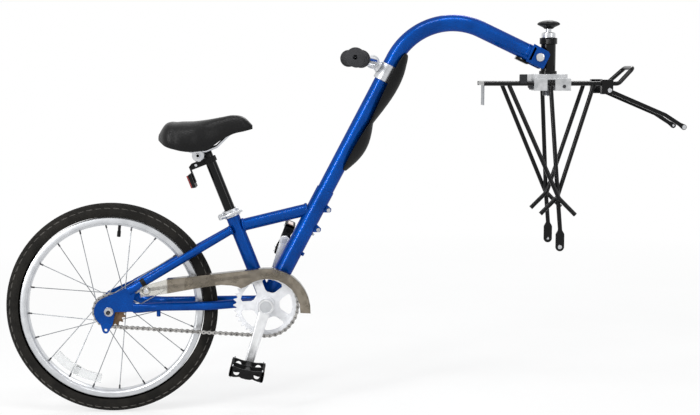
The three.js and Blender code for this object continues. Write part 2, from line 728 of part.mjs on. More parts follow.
const web_outline = flat([
  on_boom_end(-cheek_back - web_thickness, -web_back_half), on_boom_end(-cheek_back, -web_half_height),
  on_boom_end(-cheek_back, web_half_height), on_boom_end(-cheek_back - web_thickness, web_back_half),
]);
const cheek_outer = cheek_half_gap + cheek_thickness;
const bolt_hole = { centre: bolt, radius: pitch_bolt_radius + seat_gap };
const cheeks = sides_of_bike.map(([, side]) =>
  plate(cheek_outline, side * cheek_half_gap, side * cheek_outer, [bolt_hole]));
const flare = rod(on_boom_end(seat_gap - boom_end_before_bolt, 0),
  on_boom_end(flare_into_web - cheek_back - web_thickness, 0),
  flare_radius, 0, 16);
add('clevis', join(plate(web_outline, -cheek_outer, cheek_outer), ...cheeks, flare), 'blue_enamel');

const bolt_head_radius = 10;
const bolt_head = 4;
const heads = sides_of_bike.map(([, side]) =>
  cross_rod(bolt, side * (cheek_outer + seat_gap), side * (cheek_outer + bolt_head), bolt_head_radius, 0,
    16));
add('pitch_bolt', join(cross_rod(bolt, -cheek_outer - bolt_head, cheek_outer + bolt_head,
  pitch_bolt_radius, 0, 12),
  ...heads), 'steel');

const latch_length = 34;
const latch_thickness = 6;
const latch_half_width = 9;
const latch_tip_drop = 4;
const latch_hook = { back: 8, front: 12 };
const latch_past_boom_end = 14;
const latch_back = boom_end_before_bolt + latch_past_boom_end;
const latch_top = -flare_radius - seat_gap * 2;
add('latch_lever', plate(flat([
  on_boom_end(-latch_back, -boom_radius - seat_gap), on_boom_end(-latch_back, latch_top - latch_thickness),
  on_boom_end(-latch_back + latch_length - latch_tip_drop, latch_top - latch_thickness),
  on_boom_end(-latch_back + latch_length, latch_top - latch_thickness / 2),
  on_boom_end(-latch_back + latch_length, latch_top), on_boom_end(-latch_back + latch_hook.front,
    latch_top),
  on_boom_end(-latch_back + latch_hook.back, -boom_radius - seat_gap),
]), -latch_half_width, latch_half_width), 'black_enamel');

// Splash guard: an hourglass sheet in front of the boom, bowed forward and wrapped back at its edges
const guard_before_bend = 281;
const guard_past_bend = 22;
const guard_from = boom_bend_start - guard_before_bend;
const guard_to = boom_bend_start + guard_past_bend;
const guard_sheet = 2.5;
const guard_rows = 12;
const guard_columns = 6;
const guard_waist_share = 0.42;
const guard_end_half = 14;
const guard_lobe_half = 42;
const guard_waist_half = 22;
const guard_lobe_out = 40;
const guard_waist_out = 24;
const guard_wrap = 14;
const bend_lean = Math.tan(radians((down_tube_angle - boom_drop_angle) / boom_bend_steps / 2));

// The sheet's place at a share of its length and of its half width
function guard_spot(along_share, across_share, lift) {
  const toward_waist = along_share < guard_waist_share ? along_share / guard_waist_share
    : (1 - along_share) / (1 - guard_waist_share);
  const bulge = Math.sin(Math.PI * toward_waist);
  const end_out = boom_radius + seat_gap;
  const half = guard_end_half + (guard_waist_half - guard_end_half) * toward_waist
    + (guard_lobe_half - guard_waist_half) * bulge;
  const out = end_out + (guard_waist_out - end_out) * toward_waist
    + (guard_lobe_out - guard_waist_out) * bulge;
  const back = guard_wrap * across_share ** 2 * bulge;
  const distance = guard_from + (guard_to - guard_from) * along_share;
  const lean = Math.max(0, distance - boom_bend_start) * bend_lean;
  return on_down_tube(distance, -(out + lean - back + lift), half * across_share);
}
function guard_sheet_body() {
  const across = Array.from({ length: guard_columns + 1 }, (_, k) => 2 * k / guard_columns - 1);
  const sections = Array.from({ length: guard_rows + 1 }, (_, i) => {
    const share = i / guard_rows;
    const front = across.map((value) => guard_spot(share, value, guard_sheet));
    const back = across.map((value) => guard_spot(share, value, 0)).reverse();
    return [...front, ...back];
  });
  return loft(sections);
}
add('splash_guard', guard_sheet_body(), 'black_plastic');

// Handlebar with its clamp on the boom
const clamp_before_bend = 38;
const clamp_place = boom_bend_start - clamp_before_bend;
const clamp_length = 40;
const clamp_wall = 4;
const bar_reach = 42;
const bar_angle = 141;
const bar_radius = 11.1;
const bar_bracket_half = 18;
const bar_bracket_wall = 4;
const neck_half = { boom: 16, bar: 12, across: 12.6 };
const bar_bend = 30;
const bar_sides = 12;
const bar_half_width = 244;
const bar_sweep = 48;
const bar_rise = 9;
const grip_length = 108;
const grip_wall = 5;
const grip_flange = 10;
const grip_inner_lip = 3;
const grip_belly = 1;
const clamp_bore = boom_radius + seat_gap;
const band_centre = on_down_tube(clamp_place);
const bar_centre = place(band_centre, bar_angle, bar_reach);
const bar_bore = faceted_bore(bar_radius, bar_sides);
const bar_bracket = cross_rod(bar_centre, -bar_bracket_half, bar_bracket_half,
  bar_bore + bar_bracket_wall, 0, 16);
const neck_outline = flat([place(band_centre, bar_angle, 0, neck_half.boom),
  place(band_centre, bar_angle, 0, -neck_half.boom), place(bar_centre, bar_angle, 0, -neck_half.bar),
  place(bar_centre, bar_angle, 0, neck_half.bar)]);
const clamp_band = rod(on_down_tube(clamp_place - clamp_length / 2),
  on_down_tube(clamp_place + clamp_length / 2),
  clamp_bore + clamp_wall, 0, 16);
add('bar_clamp', cut(join(clamp_band, bar_bracket, plate(neck_outline, -neck_half.across,
  neck_half.across)),
  rod(on_down_tube(clamp_place - clamp_length), on_down_tube(clamp_place + clamp_length), clamp_bore, 0,
    16),
  cross_rod(bar_centre, -bar_bracket_half - overrun, bar_bracket_half + overrun, bar_bore, 0, bar_sides)),
'aluminium');

const bar_bend_start = 40;
const bar_knee = 135;
const knee_share = 0.62;
const bar_corner = (y, share) => point(bar_centre.x - bar_sweep * share, y,
  bar_centre.z + bar_rise * share);
const bar_path = rounded([
  bar_corner(-bar_half_width, 1), bar_corner(-bar_knee, knee_share), bar_corner(-bar_bend_start, 0),
  bar_corner(bar_bend_start, 0), bar_corner(bar_knee, knee_share), bar_corner(bar_half_width, 1),
], bar_bend, 1);
add('handlebar', bent_tube(bar_path, bar_radius, tube_wall, bar_sides), 'steel');
for (const [name, side] of sides_of_bike) {
  const tip = bar_corner(side * bar_half_width, 1);
  const root = bar_corner(side * bar_knee, knee_share);
  const outward = tip.clone().sub(root).normalize();
  const start = tip.clone().addScaledVector(outward, grip_wall - grip_length);
  const outer = bar_bore + grip_wall;
  const profile = [
    [bar_bore, 0], [outer + grip_inner_lip, 0], [outer + grip_inner_lip, grip_wall], [outer, 2 * grip_wall],
    [outer + grip_belly, grip_length / 2], [outer, grip_length - 3 * grip_wall],
    [bar_radius + grip_flange, grip_length - 2 * grip_wall], [bar_radius + grip_flange, grip_length],
    [grip_wall, grip_length], [grip_wall, grip_length - grip_wall + seat_gap],
    [bar_bore, grip_length - grip_wall + seat_gap],
  ];
  add(`grip_${name}`, turned(start, tip, [...profile, profile[0]], 12), 'grip_rubber');
}

// Seat clamp, post, reflector and saddle
const collar_wall = 3.5;
const collar_height = 18;
const ear_length = 12;
const ear_half = 8;
const ear_inset = 3;
const ear_root = 2;
const collar_above_tube = 1;
const collar_from = seat_tube_length - collar_height + collar_above_tube;
const collar_radius = seat_tube_radius + seat_gap + collar_wall;
const ear_outline = flat([
  on_seat_tube(collar_from + ear_inset, collar_radius - ear_root),
  on_seat_tube(collar_from + ear_inset, collar_radius + ear_length),
  on_seat_tube(seat_tube_length - ear_inset, collar_radius + ear_length),
  on_seat_tube(seat_tube_length - ear_inset, collar_radius - ear_root),
]);
add('seat_clamp', cut(join(rod(on_seat_tube(collar_from),
  on_seat_tube(seat_tube_length + collar_above_tube),
  collar_radius, 0, 16),
  plate(ear_outline, -ear_half, ear_half)),
rod(on_seat_tube(collar_from - overrun), on_seat_tube(seat_tube_length + overrun),
  seat_tube_radius + seat_gap)),
'aluminium');

const lever_half_height = 4.5;
const lever_elbow = { across: 22.4, out: 26.7 };
const lever_tip = { across: 56, out: 23.7 };
const lever_pivot = on_seat_tube(seat_tube_length - collar_height / 2, collar_radius + ear_length / 2,
  -ear_half - seat_gap - lever_half_height);
const lever_arm = bent_rod([
  lever_pivot, place(lever_pivot, seat_tube_angle, 0, -lever_elbow.across, -lever_elbow.out),
  place(lever_pivot, seat_tube_angle, 0, -lever_tip.across, -lever_tip.out),
], lever_half_height, 8);
const lever_hub = rod(place(lever_pivot, seat_tube_angle, -lever_half_height, 0, lever_pivot.y),
  place(lever_pivot, seat_tube_angle, lever_half_height, 0, lever_pivot.y), lever_half_height, 0, 12);
add('seat_lever', join(lever_arm, lever_hub), 'aluminium');

const clamp_back = 19.5;
const clamp_along = 376.5;
const post_neck_radius = 11;
const post_top = 381;
const knuckle_half = 10;
const knuckle_radius = 9;
const clamp_bolt_radius = 4;
const knuckle_arm_half = 6.5;
const post_cone = 6;
const post_floor = 20;
const knuckle_centre = on_seat_tube(clamp_along, clamp_back);
const knuckle_arm = plate(flat([
  on_seat_tube(clamp_along - knuckle_arm_half, 0), on_seat_tube(clamp_along - knuckle_arm_half, clamp_back),
  on_seat_tube(clamp_along + knuckle_arm_half, clamp_back), on_seat_tube(clamp_along + knuckle_arm_half, 0),
]), -knuckle_half, knuckle_half);
const post_body = turned(on_seat_tube(post_bottom), on_seat_tube(post_top), [
  [0, 0], [post_radius, 0], [post_radius, post_shoulder - post_bottom - post_cone],
  [post_neck_radius, post_shoulder - post_bottom], [post_neck_radius, post_top - post_bottom], [0,
    post_top - post_bottom],
]);
add('seat_post', cut(join(post_body, knuckle_arm,
  cross_rod(knuckle_centre, -knuckle_half, knuckle_half, knuckle_radius)),
cross_rod(knuckle_centre, -knuckle_half - overrun, knuckle_half + overrun, clamp_bolt_radius + seat_gap,
  0, 10),
rod(on_seat_tube(post_bottom - overrun), on_seat_tube(post_shoulder - post_floor),
  post_radius - tube_wall, 0, 12)),
'black_enamel');

const rail_wire = 3.5;
const rail_half_gap = 22;
const rail_height = 9;
const rail_front_forward = 80;
const rail_front_up = 48;
const rail_knee = { forward: 42, up: 11, y: 17 };
const rail_rear_back = 32;
const rail_rear_up = 7;
const rail_flat = { back: 16, front: 18, up: 1.5 };
const rail_bend = 6;
const rail_level = { x: knuckle_centre.x, z: knuckle_centre.z + rail_height };
const wire_spot = (x, z, y) => point(rail_level.x + x, y, rail_level.z + z);
const wire_path = rounded([
  wire_spot(-rail_rear_back, rail_rear_up, -rail_half_gap), wire_spot(-rail_flat.back, 0, -rail_half_gap),
  wire_spot(rail_flat.front, rail_flat.up, -rail_half_gap),
  wire_spot(rail_knee.forward, rail_knee.up, -rail_knee.y),
  wire_spot(rail_front_forward, rail_front_up, -rail_half_gap / 2),
  wire_spot(rail_front_forward, rail_front_up, rail_half_gap / 2),
  wire_spot(rail_knee.forward, rail_knee.up, rail_knee.y),
  wire_spot(rail_flat.front, rail_flat.up, rail_half_gap),
  wire_spot(-rail_flat.back, 0, rail_half_gap), wire_spot(-rail_rear_back, rail_rear_up, rail_half_gap),
], rail_bend, 2);
add('saddle_rails', bent_rod(wire_path, rail_wire, 8), 'steel');

const washer_radius = 14;
const clamp_half = 27;
const clamp_bolt_half = 30;
const washers = sides_of_bike.map(([, side]) =>
  cross_rod(knuckle_centre, side * (knuckle_half + seat_gap), side * clamp_half, washer_radius, 0, 16));
add('saddle_clamp', cut(join(cross_rod(knuckle_centre, -clamp_bolt_half, clamp_bolt_half,
  clamp_bolt_radius, 0, 10),
  ...washers), bent_rod(wire_path, rail_wire + seat_gap, 8)), 'steel');

// The saddle: stations along X with half width, top, underside at the edge and underside in the middle
const saddle_length = 213;
const saddle_half_width = 74;
const saddle_depth = 60;
const saddle_back = 89;
const saddle_under = 1;
const saddle_hollow_share = 0.85;
const saddle_hollow_half_share = 0.5;
const saddle_station_shares = [
  [0, 0.42, 0.66, 0.42, 0.5], [0.06, 0.78, 0.99, 0.27, 0.44], [0.2, 1, 1.1, 0.1, 0.42],
  [0.38, 0.94, 1.13, 0.02, 0.42], [0.53, 0.64, 1.2, 0.1, 0.44], [0.67, 0.42, 1.29, 0.43, 0.58],
  [0.8, 0.33, 1.36, 0.66, 0.76], [0.92, 0.27, 1.26, 0.76, 0.84], [1, 0.12, 0.98, 0.83, 0.86],
];
const saddle_section_shares = [
  [0, 1], [0.45, 0.97], [0.8, 0.84], [0.97, 0.55], [1, 0.22], [0.94, 0], [0.8, 0],
];
const saddle_sections = saddle_station_shares.map(([along, wide, top, edge, middle]) => {
  const spot = (across, up) => wire_spot(saddle_length * along - saddle_back,
    saddle_under + saddle_depth * (edge + (top - edge) * up), saddle_half_width * wide * across);
  const under = wire_spot(saddle_length * along - saddle_back, saddle_under + saddle_depth * middle, 0);
  const left = saddle_section_shares.map(([across, up]) => spot(across, up));
  const right = saddle_section_shares.slice(1).reverse().map(([across, up]) => spot(-across, up));
  const edges = [saddle_hollow_half_share, -saddle_hollow_half_share].map((across) => {
    const at_edge = spot(across, 0);
    return point(at_edge.x, at_edge.y, at_edge.z + (under.z - at_edge.z) * saddle_hollow_share);
  });
  return [...left, edges[0], under, edges[1], ...right];
});
add('saddle', cut(loft(saddle_sections), bent_rod(wire_path, rail_wire + seat_gap, 8)), 'black_plastic');

const bracket_from = 351;
const bracket_height = 12;
const bracket_wall = 3;
const reflector_half_width = 26;
const reflector_half_height = 17;
const reflector_depth = 12;
const reflector_drop = 30;
const arm_half_height = 7;
const arm_half_width = 7;
const arm_reach = 48;
const arm_sheet = 3;
const arm_tip = 5;
const bracket_middle = bracket_from + bracket_height / 2;
const sheet_back = arm_reach + arm_sheet;
const reflector_middle = bracket_middle - reflector_drop;
const arm_outline = flat([
  on_seat_tube(bracket_middle - arm_half_height, 0), on_seat_tube(bracket_middle + arm_half_height, 0),
  on_seat_tube(bracket_middle + arm_half_height, arm_reach - arm_tip),
  on_seat_tube(bracket_middle + arm_half_height - arm_tip, sheet_back),
  on_seat_tube(reflector_middle - arm_half_height, sheet_back),
  on_seat_tube(reflector_middle - arm_half_height, arm_reach),
  on_seat_tube(bracket_middle - arm_half_height, arm_reach),
]);
add('reflector_bracket', cut(join(rod(on_seat_tube(bracket_from),
  on_seat_tube(bracket_from + bracket_height),
  post_radius + seat_gap + bracket_wall), plate(arm_outline, -arm_half_width, arm_half_width)),
rod(on_seat_tube(bracket_from - overrun), on_seat_tube(bracket_from + bracket_height + overrun),
  post_radius + seat_gap)), 'black_plastic');
const lens_face = sheet_back + reflector_depth;
add('rear_reflector', plate(flat([
  on_seat_tube(reflector_middle - reflector_half_height, sheet_back + seat_gap),
  on_seat_tube(reflector_middle - reflector_half_height, lens_face),
  on_seat_tube(reflector_middle + reflector_half_height, lens_face),
  on_seat_tube(reflector_middle + reflector_half_height, sheet_back + seat_gap),
]), -reflector_half_width, reflector_half_width), 'red_plastic');

// Chain guard: a side plate outside the chain with a top flange over it
const guard_outer_radius = 99.5;
const guard_inner_radius = 76;
const guard_outer_y = 60;
const guard_plate = 2;
const guard_flange = 22;
const guard_tab = 60;
const guard_tab_edge = { bottom: 8, top: 16 };
const guard_forward = 3;
const guard_lower = 12.7;
const guard_middle = { x: bb.x + guard_forward, z: bb.z - guard_lower };
const guard_arc = { from: -3, outer_to: 95.6, inner_to: 130 };
const guard_heel = [[-56.8, 41.2], [-66, 45.5], [-79.5, 48.3], [-102.8, 49.7], [-144, 44.5]];
const seatstay_notch = { length: 120, toe_in: 14 };
const guard_tail = { x: 133, top: 75, bottom: 42 };
const guard_tail_spots = {
  top: [axle.x + guard_tail.x, axle.z + guard_tail.top],
  bottom: [axle.x + guard_tail.x, axle.z + guard_tail.bottom],
};
const outer_edge = [guard_tail_spots.top,
  ...arc(guard_middle, guard_outer_radius, guard_arc.outer_to, guard_arc.from, 9)];
const inner_edge = [...arc(guard_middle, guard_inner_radius, guard_arc.from, guard_arc.inner_to, 9),
  ...guard_heel.map(([along, up]) => [bb.x + along, bb.z + up]), guard_tail_spots.bottom];
const flange_edge = [
  ...arc(guard_middle, guard_outer_radius - guard_plate, guard_arc.from, guard_arc.outer_to, 9),
  [guard_tail_spots.top[0], guard_tail_spots.top[1] - guard_plate]];
const tab_outline = [
  guard_tail_spots.top, [guard_tail_spots.top[0], guard_tail_spots.bottom[1]],
  [guard_tail_spots.top[0] - guard_tab, guard_tail_spots.bottom[1] - guard_tab_edge.bottom],
  [guard_tail_spots.top[0] - guard_tab, guard_tail_spots.bottom[1] + guard_tab_edge.top],
];
const seatstay_clear = rod(place(seatstay_rear, seatstay_angle, 0, 0, -dropout_middle),
  place(seatstay_rear, seatstay_angle, seatstay_notch.length, 0, seatstay_notch.toe_in - dropout_middle),
    seatstay_radius + 2 * seat_gap, 0, 16);
add('chain_guard', cut(join(
  plate([...outer_edge, ...inner_edge], -guard_outer_y, -guard_outer_y + guard_plate),
  plate([...outer_edge, ...flange_edge], -guard_outer_y, -guard_outer_y + guard_flange),
  plate(tab_outline, -guard_outer_y, -guard_outer_y + guard_plate),
), seatstay_clear), 'smoky_plastic');

// Hitch: stem, expander bolt with its knob, and the steering sleeve with the boom's lug
const receiver_above = 21;
const receiver_below = 16;
const receiver_top = platform_height + receiver_above;
const receiver_bottom = platform_height - receiver_below;
const stem_radius = 12.5;
const sleeve_wall = 4.2;
const sleeve_outer = stem_radius + seat_gap + sleeve_wall;
const sleeve_bottom = receiver_top + seat_gap;
const sleeve_above_platform = 104;
const sleeve_top = platform_height + sleeve_above_platform;
const collar_out = 3.5;
const collar_depth = 7;
const head_radius = 16;
const head_height = 12;
const stem_bottom = receiver_bottom + seat_gap;
const draw_radius = 4;
const head_chamfer = 2;
const collar_slope = 1;
const at_stem = (z) => point(steer_x, 0, z);
const stem_height = sleeve_top + seat_gap + head_height - stem_bottom;
const stem_profile = [
  [draw_radius + seat_gap, 0], [stem_radius, 0], [stem_radius, stem_height - head_height],
  [head_radius, stem_height - head_height], [head_radius, stem_height - head_chamfer],
  [head_radius - head_chamfer, stem_height],
  [draw_radius + seat_gap, stem_height],
];
add('hitch_stem', turned(at_stem(stem_bottom), at_stem(stem_bottom + stem_height),
  [...stem_profile, stem_profile[0]], 16), 'steel');

const sleeve_height = sleeve_top - sleeve_bottom;
const steering_profile = [
  [stem_radius + seat_gap, 0], [sleeve_outer + collar_out, 0], [sleeve_outer + collar_out, collar_depth],
  [sleeve_outer, collar_depth + collar_slope], [sleeve_outer,
    sleeve_height - 2 * collar_depth - collar_slope],
  [sleeve_outer + collar_out, sleeve_height - 2 * collar_depth], [sleeve_outer + collar_out, sleeve_height],
  [stem_radius + seat_gap, sleeve_height],
];
const lug_radius = 12;
const boom_lug = join(cross_rod(bolt, -cheek_half_gap + seat_gap, cheek_half_gap - seat_gap, lug_radius),
  block(point(bolt.x, -cheek_half_gap / 2, bolt.z - lug_radius), point(steer_x - stem_radius,
    cheek_half_gap / 2,
    bolt.z + lug_radius)));
add('steering_sleeve', cut(join(turned(at_stem(sleeve_bottom), at_stem(sleeve_top),
  [...steering_profile, steering_profile[0]], 16), boom_lug),
cross_rod(bolt, -cheek_half_gap - overrun, cheek_half_gap + overrun, pitch_bolt_radius + seat_gap, 0, 12),
rod(at_stem(sleeve_bottom - overrun), at_stem(sleeve_top + overrun), stem_radius + seat_gap, 0, 16)),
  'black_enamel');

const knob_radius = 26.5;
const knob_neck = 14;
const knob_height = 18.5;
const knob_seat = stem_bottom + stem_height + seat_gap;
const draw_past_stem = 14;
const draw_end = stem_bottom - draw_past_stem;
const knob_profile = [
  [6.4, 0], [6.4, 8], [knob_neck, 9], [15.4, 13], [knob_radius, knob_height], [24.2, knob_height + 3.5],
  [15.4, knob_height + 7.8], [0, knob_height + 9.5],
];
add('hitch_knob', turned(at_stem(draw_end), at_stem(knob_seat), [
  [0, 0], [draw_radius, 0], [draw_radius, knob_seat - draw_end],
  ...knob_profile.map(([radius, up]) => [radius, knob_seat - draw_end + up]),
], 16), 'black_plastic');

const wedge_height = 12;
const wedge_inset = 1;
add('expander_wedge', cut(rod(at_stem(stem_bottom - seat_gap - wedge_height),
  at_stem(stem_bottom - seat_gap),
  stem_radius - wedge_inset), rod(at_stem(draw_end - overrun), at_stem(stem_bottom + overrun),
    draw_radius + seat_gap, 0, 16)),
'steel');

// Rack
const hoop_past_rails = 20;
const hoop_foot_forward = 12;
const hoop_bend = 10;
const hoop_start = rail_front + hoop_past_rails;
const hoop_width = 40;
const hoop_forward = 168;
const hoop_rise = 35;
const bar = (side) => side * rail_spread;
const hoop_path = rounded([
  point(-rail_rear, -rail_spread, platform_height),
  point(hoop_start + hoop_foot_forward, -rail_spread, platform_height),
  point(hoop_forward, -hoop_width, platform_height + hoop_rise),
  point(hoop_forward, hoop_width, platform_height + hoop_rise),
  point(hoop_start + hoop_foot_forward, rail_spread, platform_height),
  point(-rail_rear, rail_spread, platform_height),
], hoop_bend, 2);
add('rack_platform', bent_rod(hoop_path, rail_radius, 10), 'black_enamel');

const bracket_drop = 50;
const bracket_half = 22;
const bracket_sheet = 2;
const cross_half = rail_spread - rail_radius - seat_gap;
const cross_x = -rail_rear + rail_radius;
add('rack_rear_bracket', join(cross_rod({ x: cross_x, z: platform_height }, -cross_half, cross_half,
  rail_radius, 0, 10),
  block(point(cross_x - bracket_sheet / 2, -bracket_half, platform_height - bracket_drop),
    point(cross_x + bracket_sheet / 2, bracket_half, platform_height))), 'black_enamel');

const foot_plate_height = 46;
const foot_plate_half = 10;
const foot_plate_thickness = 4;
const foot_hole = 3.2;
const leg_bottom = 34;
const leg_cross = 109;
const leg_pitch = 2 * rail_radius + seat_gap;
const foot_x = { top: -23, cross: -6 };
const rear_leg_top = -120;
const front_leg_top = 76;
const leg_kick = 38;
const leg_kick_drop = 34.2;
const slanted_leg_lift = 4;
const middle_leg_bend = 60;
const slanted_leg_bend = 12;
for (const [name, side] of sides_of_bike) {
  const rail_clear = rod(point(-rail_rear - overrun, bar(side), platform_height),
    point(hoop_start + overrun, bar(side), platform_height), rail_radius + seat_gap, 0, 12);
  const foot = { x: 0, z: 0 };
  const foot_from = side * (foot_spread - foot_plate_thickness / 2);
  const foot_to = side * (foot_spread + foot_plate_thickness / 2);
  const foot_plate = plate([
    [-foot_plate_half, foot_plate_height - foot_plate_half], [foot_plate_half,
      foot_plate_height - foot_plate_half],
    ...arc(foot, foot_plate_half, 0, -180, 6),
  ].reverse(), foot_from, foot_to, [{ centre: foot, radius: foot_hole }]);
  const middle_path = rounded([point(foot_x.top, bar(side), platform_height),
    point(foot_x.cross, side * foot_spread, leg_cross), point(0, side * foot_spread,
      leg_bottom - overrun)], middle_leg_bend, 1);
  add(`middle_leg_${name}`, cut(join(bent_rod(middle_path, rail_radius, 10), foot_plate), rail_clear),
    'black_enamel');
  const slanted = (top, y_at_cross, kick) => rounded([point(top, bar(side), platform_height),
    point(foot_x.cross, y_at_cross, leg_cross + slanted_leg_lift),
    point(foot_x.cross + kick, y_at_cross, leg_cross - leg_kick_drop)], slanted_leg_bend, 2);
  const rear_path = slanted(rear_leg_top, side * (foot_spread + leg_pitch), leg_kick);
  const front_path = slanted(front_leg_top, side * (foot_spread - leg_pitch), -leg_kick);
  add(`rear_leg_${name}`, cut(bent_rod(rear_path, rail_radius, 10), rail_clear), 'black_enamel');
  add(`front_leg_${name}`, cut(bent_rod(front_path, rail_radius, 10), rail_clear), 'black_enamel');
}

// Receiver block, clamped across both rails
const receiver_half_length = 42;
const receiver_half_width = 62;
const receiver_far_back = 30;
const receiver_step_y = 20;
const ridge_half_width = 40;
const ridge_step = 9;
const ridge_back = 45;
const ridge_front = 38;
const notch_half = 9;
const notch_depth = 22;
const receiver_body = join(block(
  point(steer_x - receiver_half_length, -receiver_half_width, receiver_bottom),
  point(steer_x + receiver_half_length, -receiver_step_y, receiver_top - ridge_step)), block(
  point(steer_x - receiver_far_back, -receiver_step_y, receiver_bottom),
  point(steer_x + receiver_half_length, receiver_half_width, receiver_top - ridge_step)));
const ridge = block(
  point(steer_x - ridge_back, -ridge_half_width, receiver_top - 2 * ridge_step),
  point(steer_x + ridge_front, ridge_half_width, receiver_top));
const notches = sides_of_bike.map(([, side]) => block(
  point(foot_x.top - notch_half,
    side < 0 ? -receiver_half_width - overrun : receiver_half_width - notch_depth,
    receiver_bottom - overrun),
  point(foot_x.top + notch_half,
    side < 0 ? notch_depth - receiver_half_width : receiver_half_width + overrun,
    platform_height + notch_half)));
const rail_slots = sides_of_bike.map(([, side]) => rod(point(-rail_rear, bar(side), platform_height),
  point(hoop_start, bar(side), platform_height), rail_radius + seat_gap, 0, 12));
add('receiver_block', cut(join(receiver_body, ridge),
  rod(at_stem(receiver_bottom - overrun), at_stem(receiver_top + overrun), stem_radius + seat_gap, 0, 16),
  ...notches, ...rail_slots), 'aluminium');

const bumper_size = 16;
const bumper_x = -86;
add('rack_bumper', cut(block(
  point(bumper_x - bumper_size / 2, -rail_spread - bumper_size / 2, platform_height),
  point(bumper_x + bumper_size / 2, -rail_spread + bumper_size / 2,
    platform_height + rail_radius + bumper_size)),
rail_slots[0]), 'rubber');

// Stay clamps and the two stays that reach forward
const clamp_x = { from: 92, to: 118 };
const stay_clamp_half = 9;
const stay_clamp_drop = 24;
const stay_pivot_drop = 15;
const stay_pivot = { x: 110, z: platform_height - stay_pivot_drop };
const stay_pin = 3;
const stay_thickness = 4;
const stay_half_height = 6.5;
const stay_strip_half = 4.5;
const stay_neck = 12;
const stay_bend_drop = 72;
const stay_end_drop = 100;
const stay_bend = { x: 244, z: platform_height - stay_bend_drop };
const stay_end = { x: 288, z: platform_height - stay_end_drop };
const stay_clamp_above_rail = 4;
const stay_pin_past = 3;
for (const [name, side] of sides_of_bike) {
  const inner = side * (rail_spread - stay_clamp_half);
  const stay_outer = inner - side * seat_gap;
  const stay_inner = stay_outer - side * stay_thickness;
  const body = block(
    point(clamp_x.from, side * rail_spread - stay_clamp_half, platform_height - stay_clamp_drop),
    point(clamp_x.to, side * rail_spread + stay_clamp_half,
      platform_height + rail_radius + stay_clamp_above_rail));
  const rail_clear = rail_slots[side < 0 ? 0 : 1];
  const pin = cross_rod(stay_pivot, inner + side * overrun, stay_inner - side * stay_pin_past, stay_pin,
    0, 10);
  add(`stay_clamp_${name}`, cut(join(body, pin), rail_clear), 'black_enamel');
  const slope = (from, to) => THREE.MathUtils.radToDeg(Math.atan2(to.z - from.z, to.x - from.x));
  const [first, second] = [slope(stay_pivot, stay_bend), slope(stay_bend, stay_end)];
  const outline = [
    ...arc(stay_pivot, stay_half_height, first + 90, first + 270, 6),
    ...flat([place(stay_pivot, first, stay_neck, -stay_strip_half),
      place(stay_bend, (first + second) / 2, 0, -stay_strip_half),
      place(stay_end, second, -stay_neck, -stay_strip_half)]),
    ...arc(stay_end, stay_half_height, second - 90, second + 90, 6),
    ...flat([place(stay_end, second, -stay_neck, stay_strip_half),
      place(stay_bend, (first + second) / 2, 0, stay_strip_half),
      place(stay_pivot, first, stay_neck, stay_strip_half)]),
  ];
  add(`stay_${name}`, plate(outline, stay_inner, stay_outer, [{ centre: stay_pivot,
    radius: stay_pin + seat_gap },
    { centre: stay_end, radius: stay_pin }]), 'black_enamel');
}

export default trailer_bike;
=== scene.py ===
# %% [markdown]
# # A child's trailer bike on its hitch rack
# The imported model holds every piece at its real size, with flat facets. This lesson gives each piece the
# surface that the eye expects: round tubes, a treaded tyre, a laced wheel, a real chain and painted
# steel. Lengths are in millimetres, and one factor turns them into Blender's metres.

# %% Load the frame
import math

import bmesh
import bpy
import numpy as np
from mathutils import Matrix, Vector
from mathutils.geometry import tessellate_polygon


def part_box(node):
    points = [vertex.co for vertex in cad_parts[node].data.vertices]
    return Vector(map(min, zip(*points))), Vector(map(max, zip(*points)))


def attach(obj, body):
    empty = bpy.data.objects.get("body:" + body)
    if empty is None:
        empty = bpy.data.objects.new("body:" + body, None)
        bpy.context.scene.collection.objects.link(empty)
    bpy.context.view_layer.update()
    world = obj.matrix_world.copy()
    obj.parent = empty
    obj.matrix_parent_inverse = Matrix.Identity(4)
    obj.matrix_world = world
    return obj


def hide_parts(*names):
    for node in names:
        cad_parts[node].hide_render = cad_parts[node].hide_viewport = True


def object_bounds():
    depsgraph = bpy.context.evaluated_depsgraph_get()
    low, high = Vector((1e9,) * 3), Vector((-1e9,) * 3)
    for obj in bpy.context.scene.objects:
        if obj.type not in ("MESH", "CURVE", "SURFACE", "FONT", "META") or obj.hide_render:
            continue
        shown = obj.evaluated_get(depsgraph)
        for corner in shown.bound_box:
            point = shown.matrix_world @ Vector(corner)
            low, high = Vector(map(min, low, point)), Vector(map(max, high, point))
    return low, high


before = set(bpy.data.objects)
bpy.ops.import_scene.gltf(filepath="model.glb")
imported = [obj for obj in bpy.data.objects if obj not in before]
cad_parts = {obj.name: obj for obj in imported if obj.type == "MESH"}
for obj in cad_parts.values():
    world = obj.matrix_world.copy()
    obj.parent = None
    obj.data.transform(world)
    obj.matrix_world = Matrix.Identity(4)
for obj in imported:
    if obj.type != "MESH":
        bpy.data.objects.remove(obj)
cad_low, cad_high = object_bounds()
MM = 0.001

# %% [markdown]
# ## Camera
# A product picture is taken from far away with a long lens, so that tubes look straight. The camera
# stands about three metres to the drive side at saddle height, and looks slightly down and forward.

# %% Camera
picture_width = 700
focal_pixels = 1284
camera_data = bpy.data.cameras.new("camera")
camera_data.sensor_width = 36
camera_data.lens = focal_pixels * camera_data.sensor_width / picture_width
camera = bpy.data.objects.new("camera", camera_data)
camera.location = (-0.5707, -2.9712, 0.4140)
view_direction = Vector((0.03095, 0.99342, -0.11030))
camera.rotation_euler = view_direction.to_track_quat("-Z", "Y").to_euler()
bpy.context.scene.collection.objects.link(camera)
bpy.context.scene.camera = camera
bpy.context.scene.view_settings.view_transform = "Standard"
print("lens", round(camera_data.lens, 1), "mm")

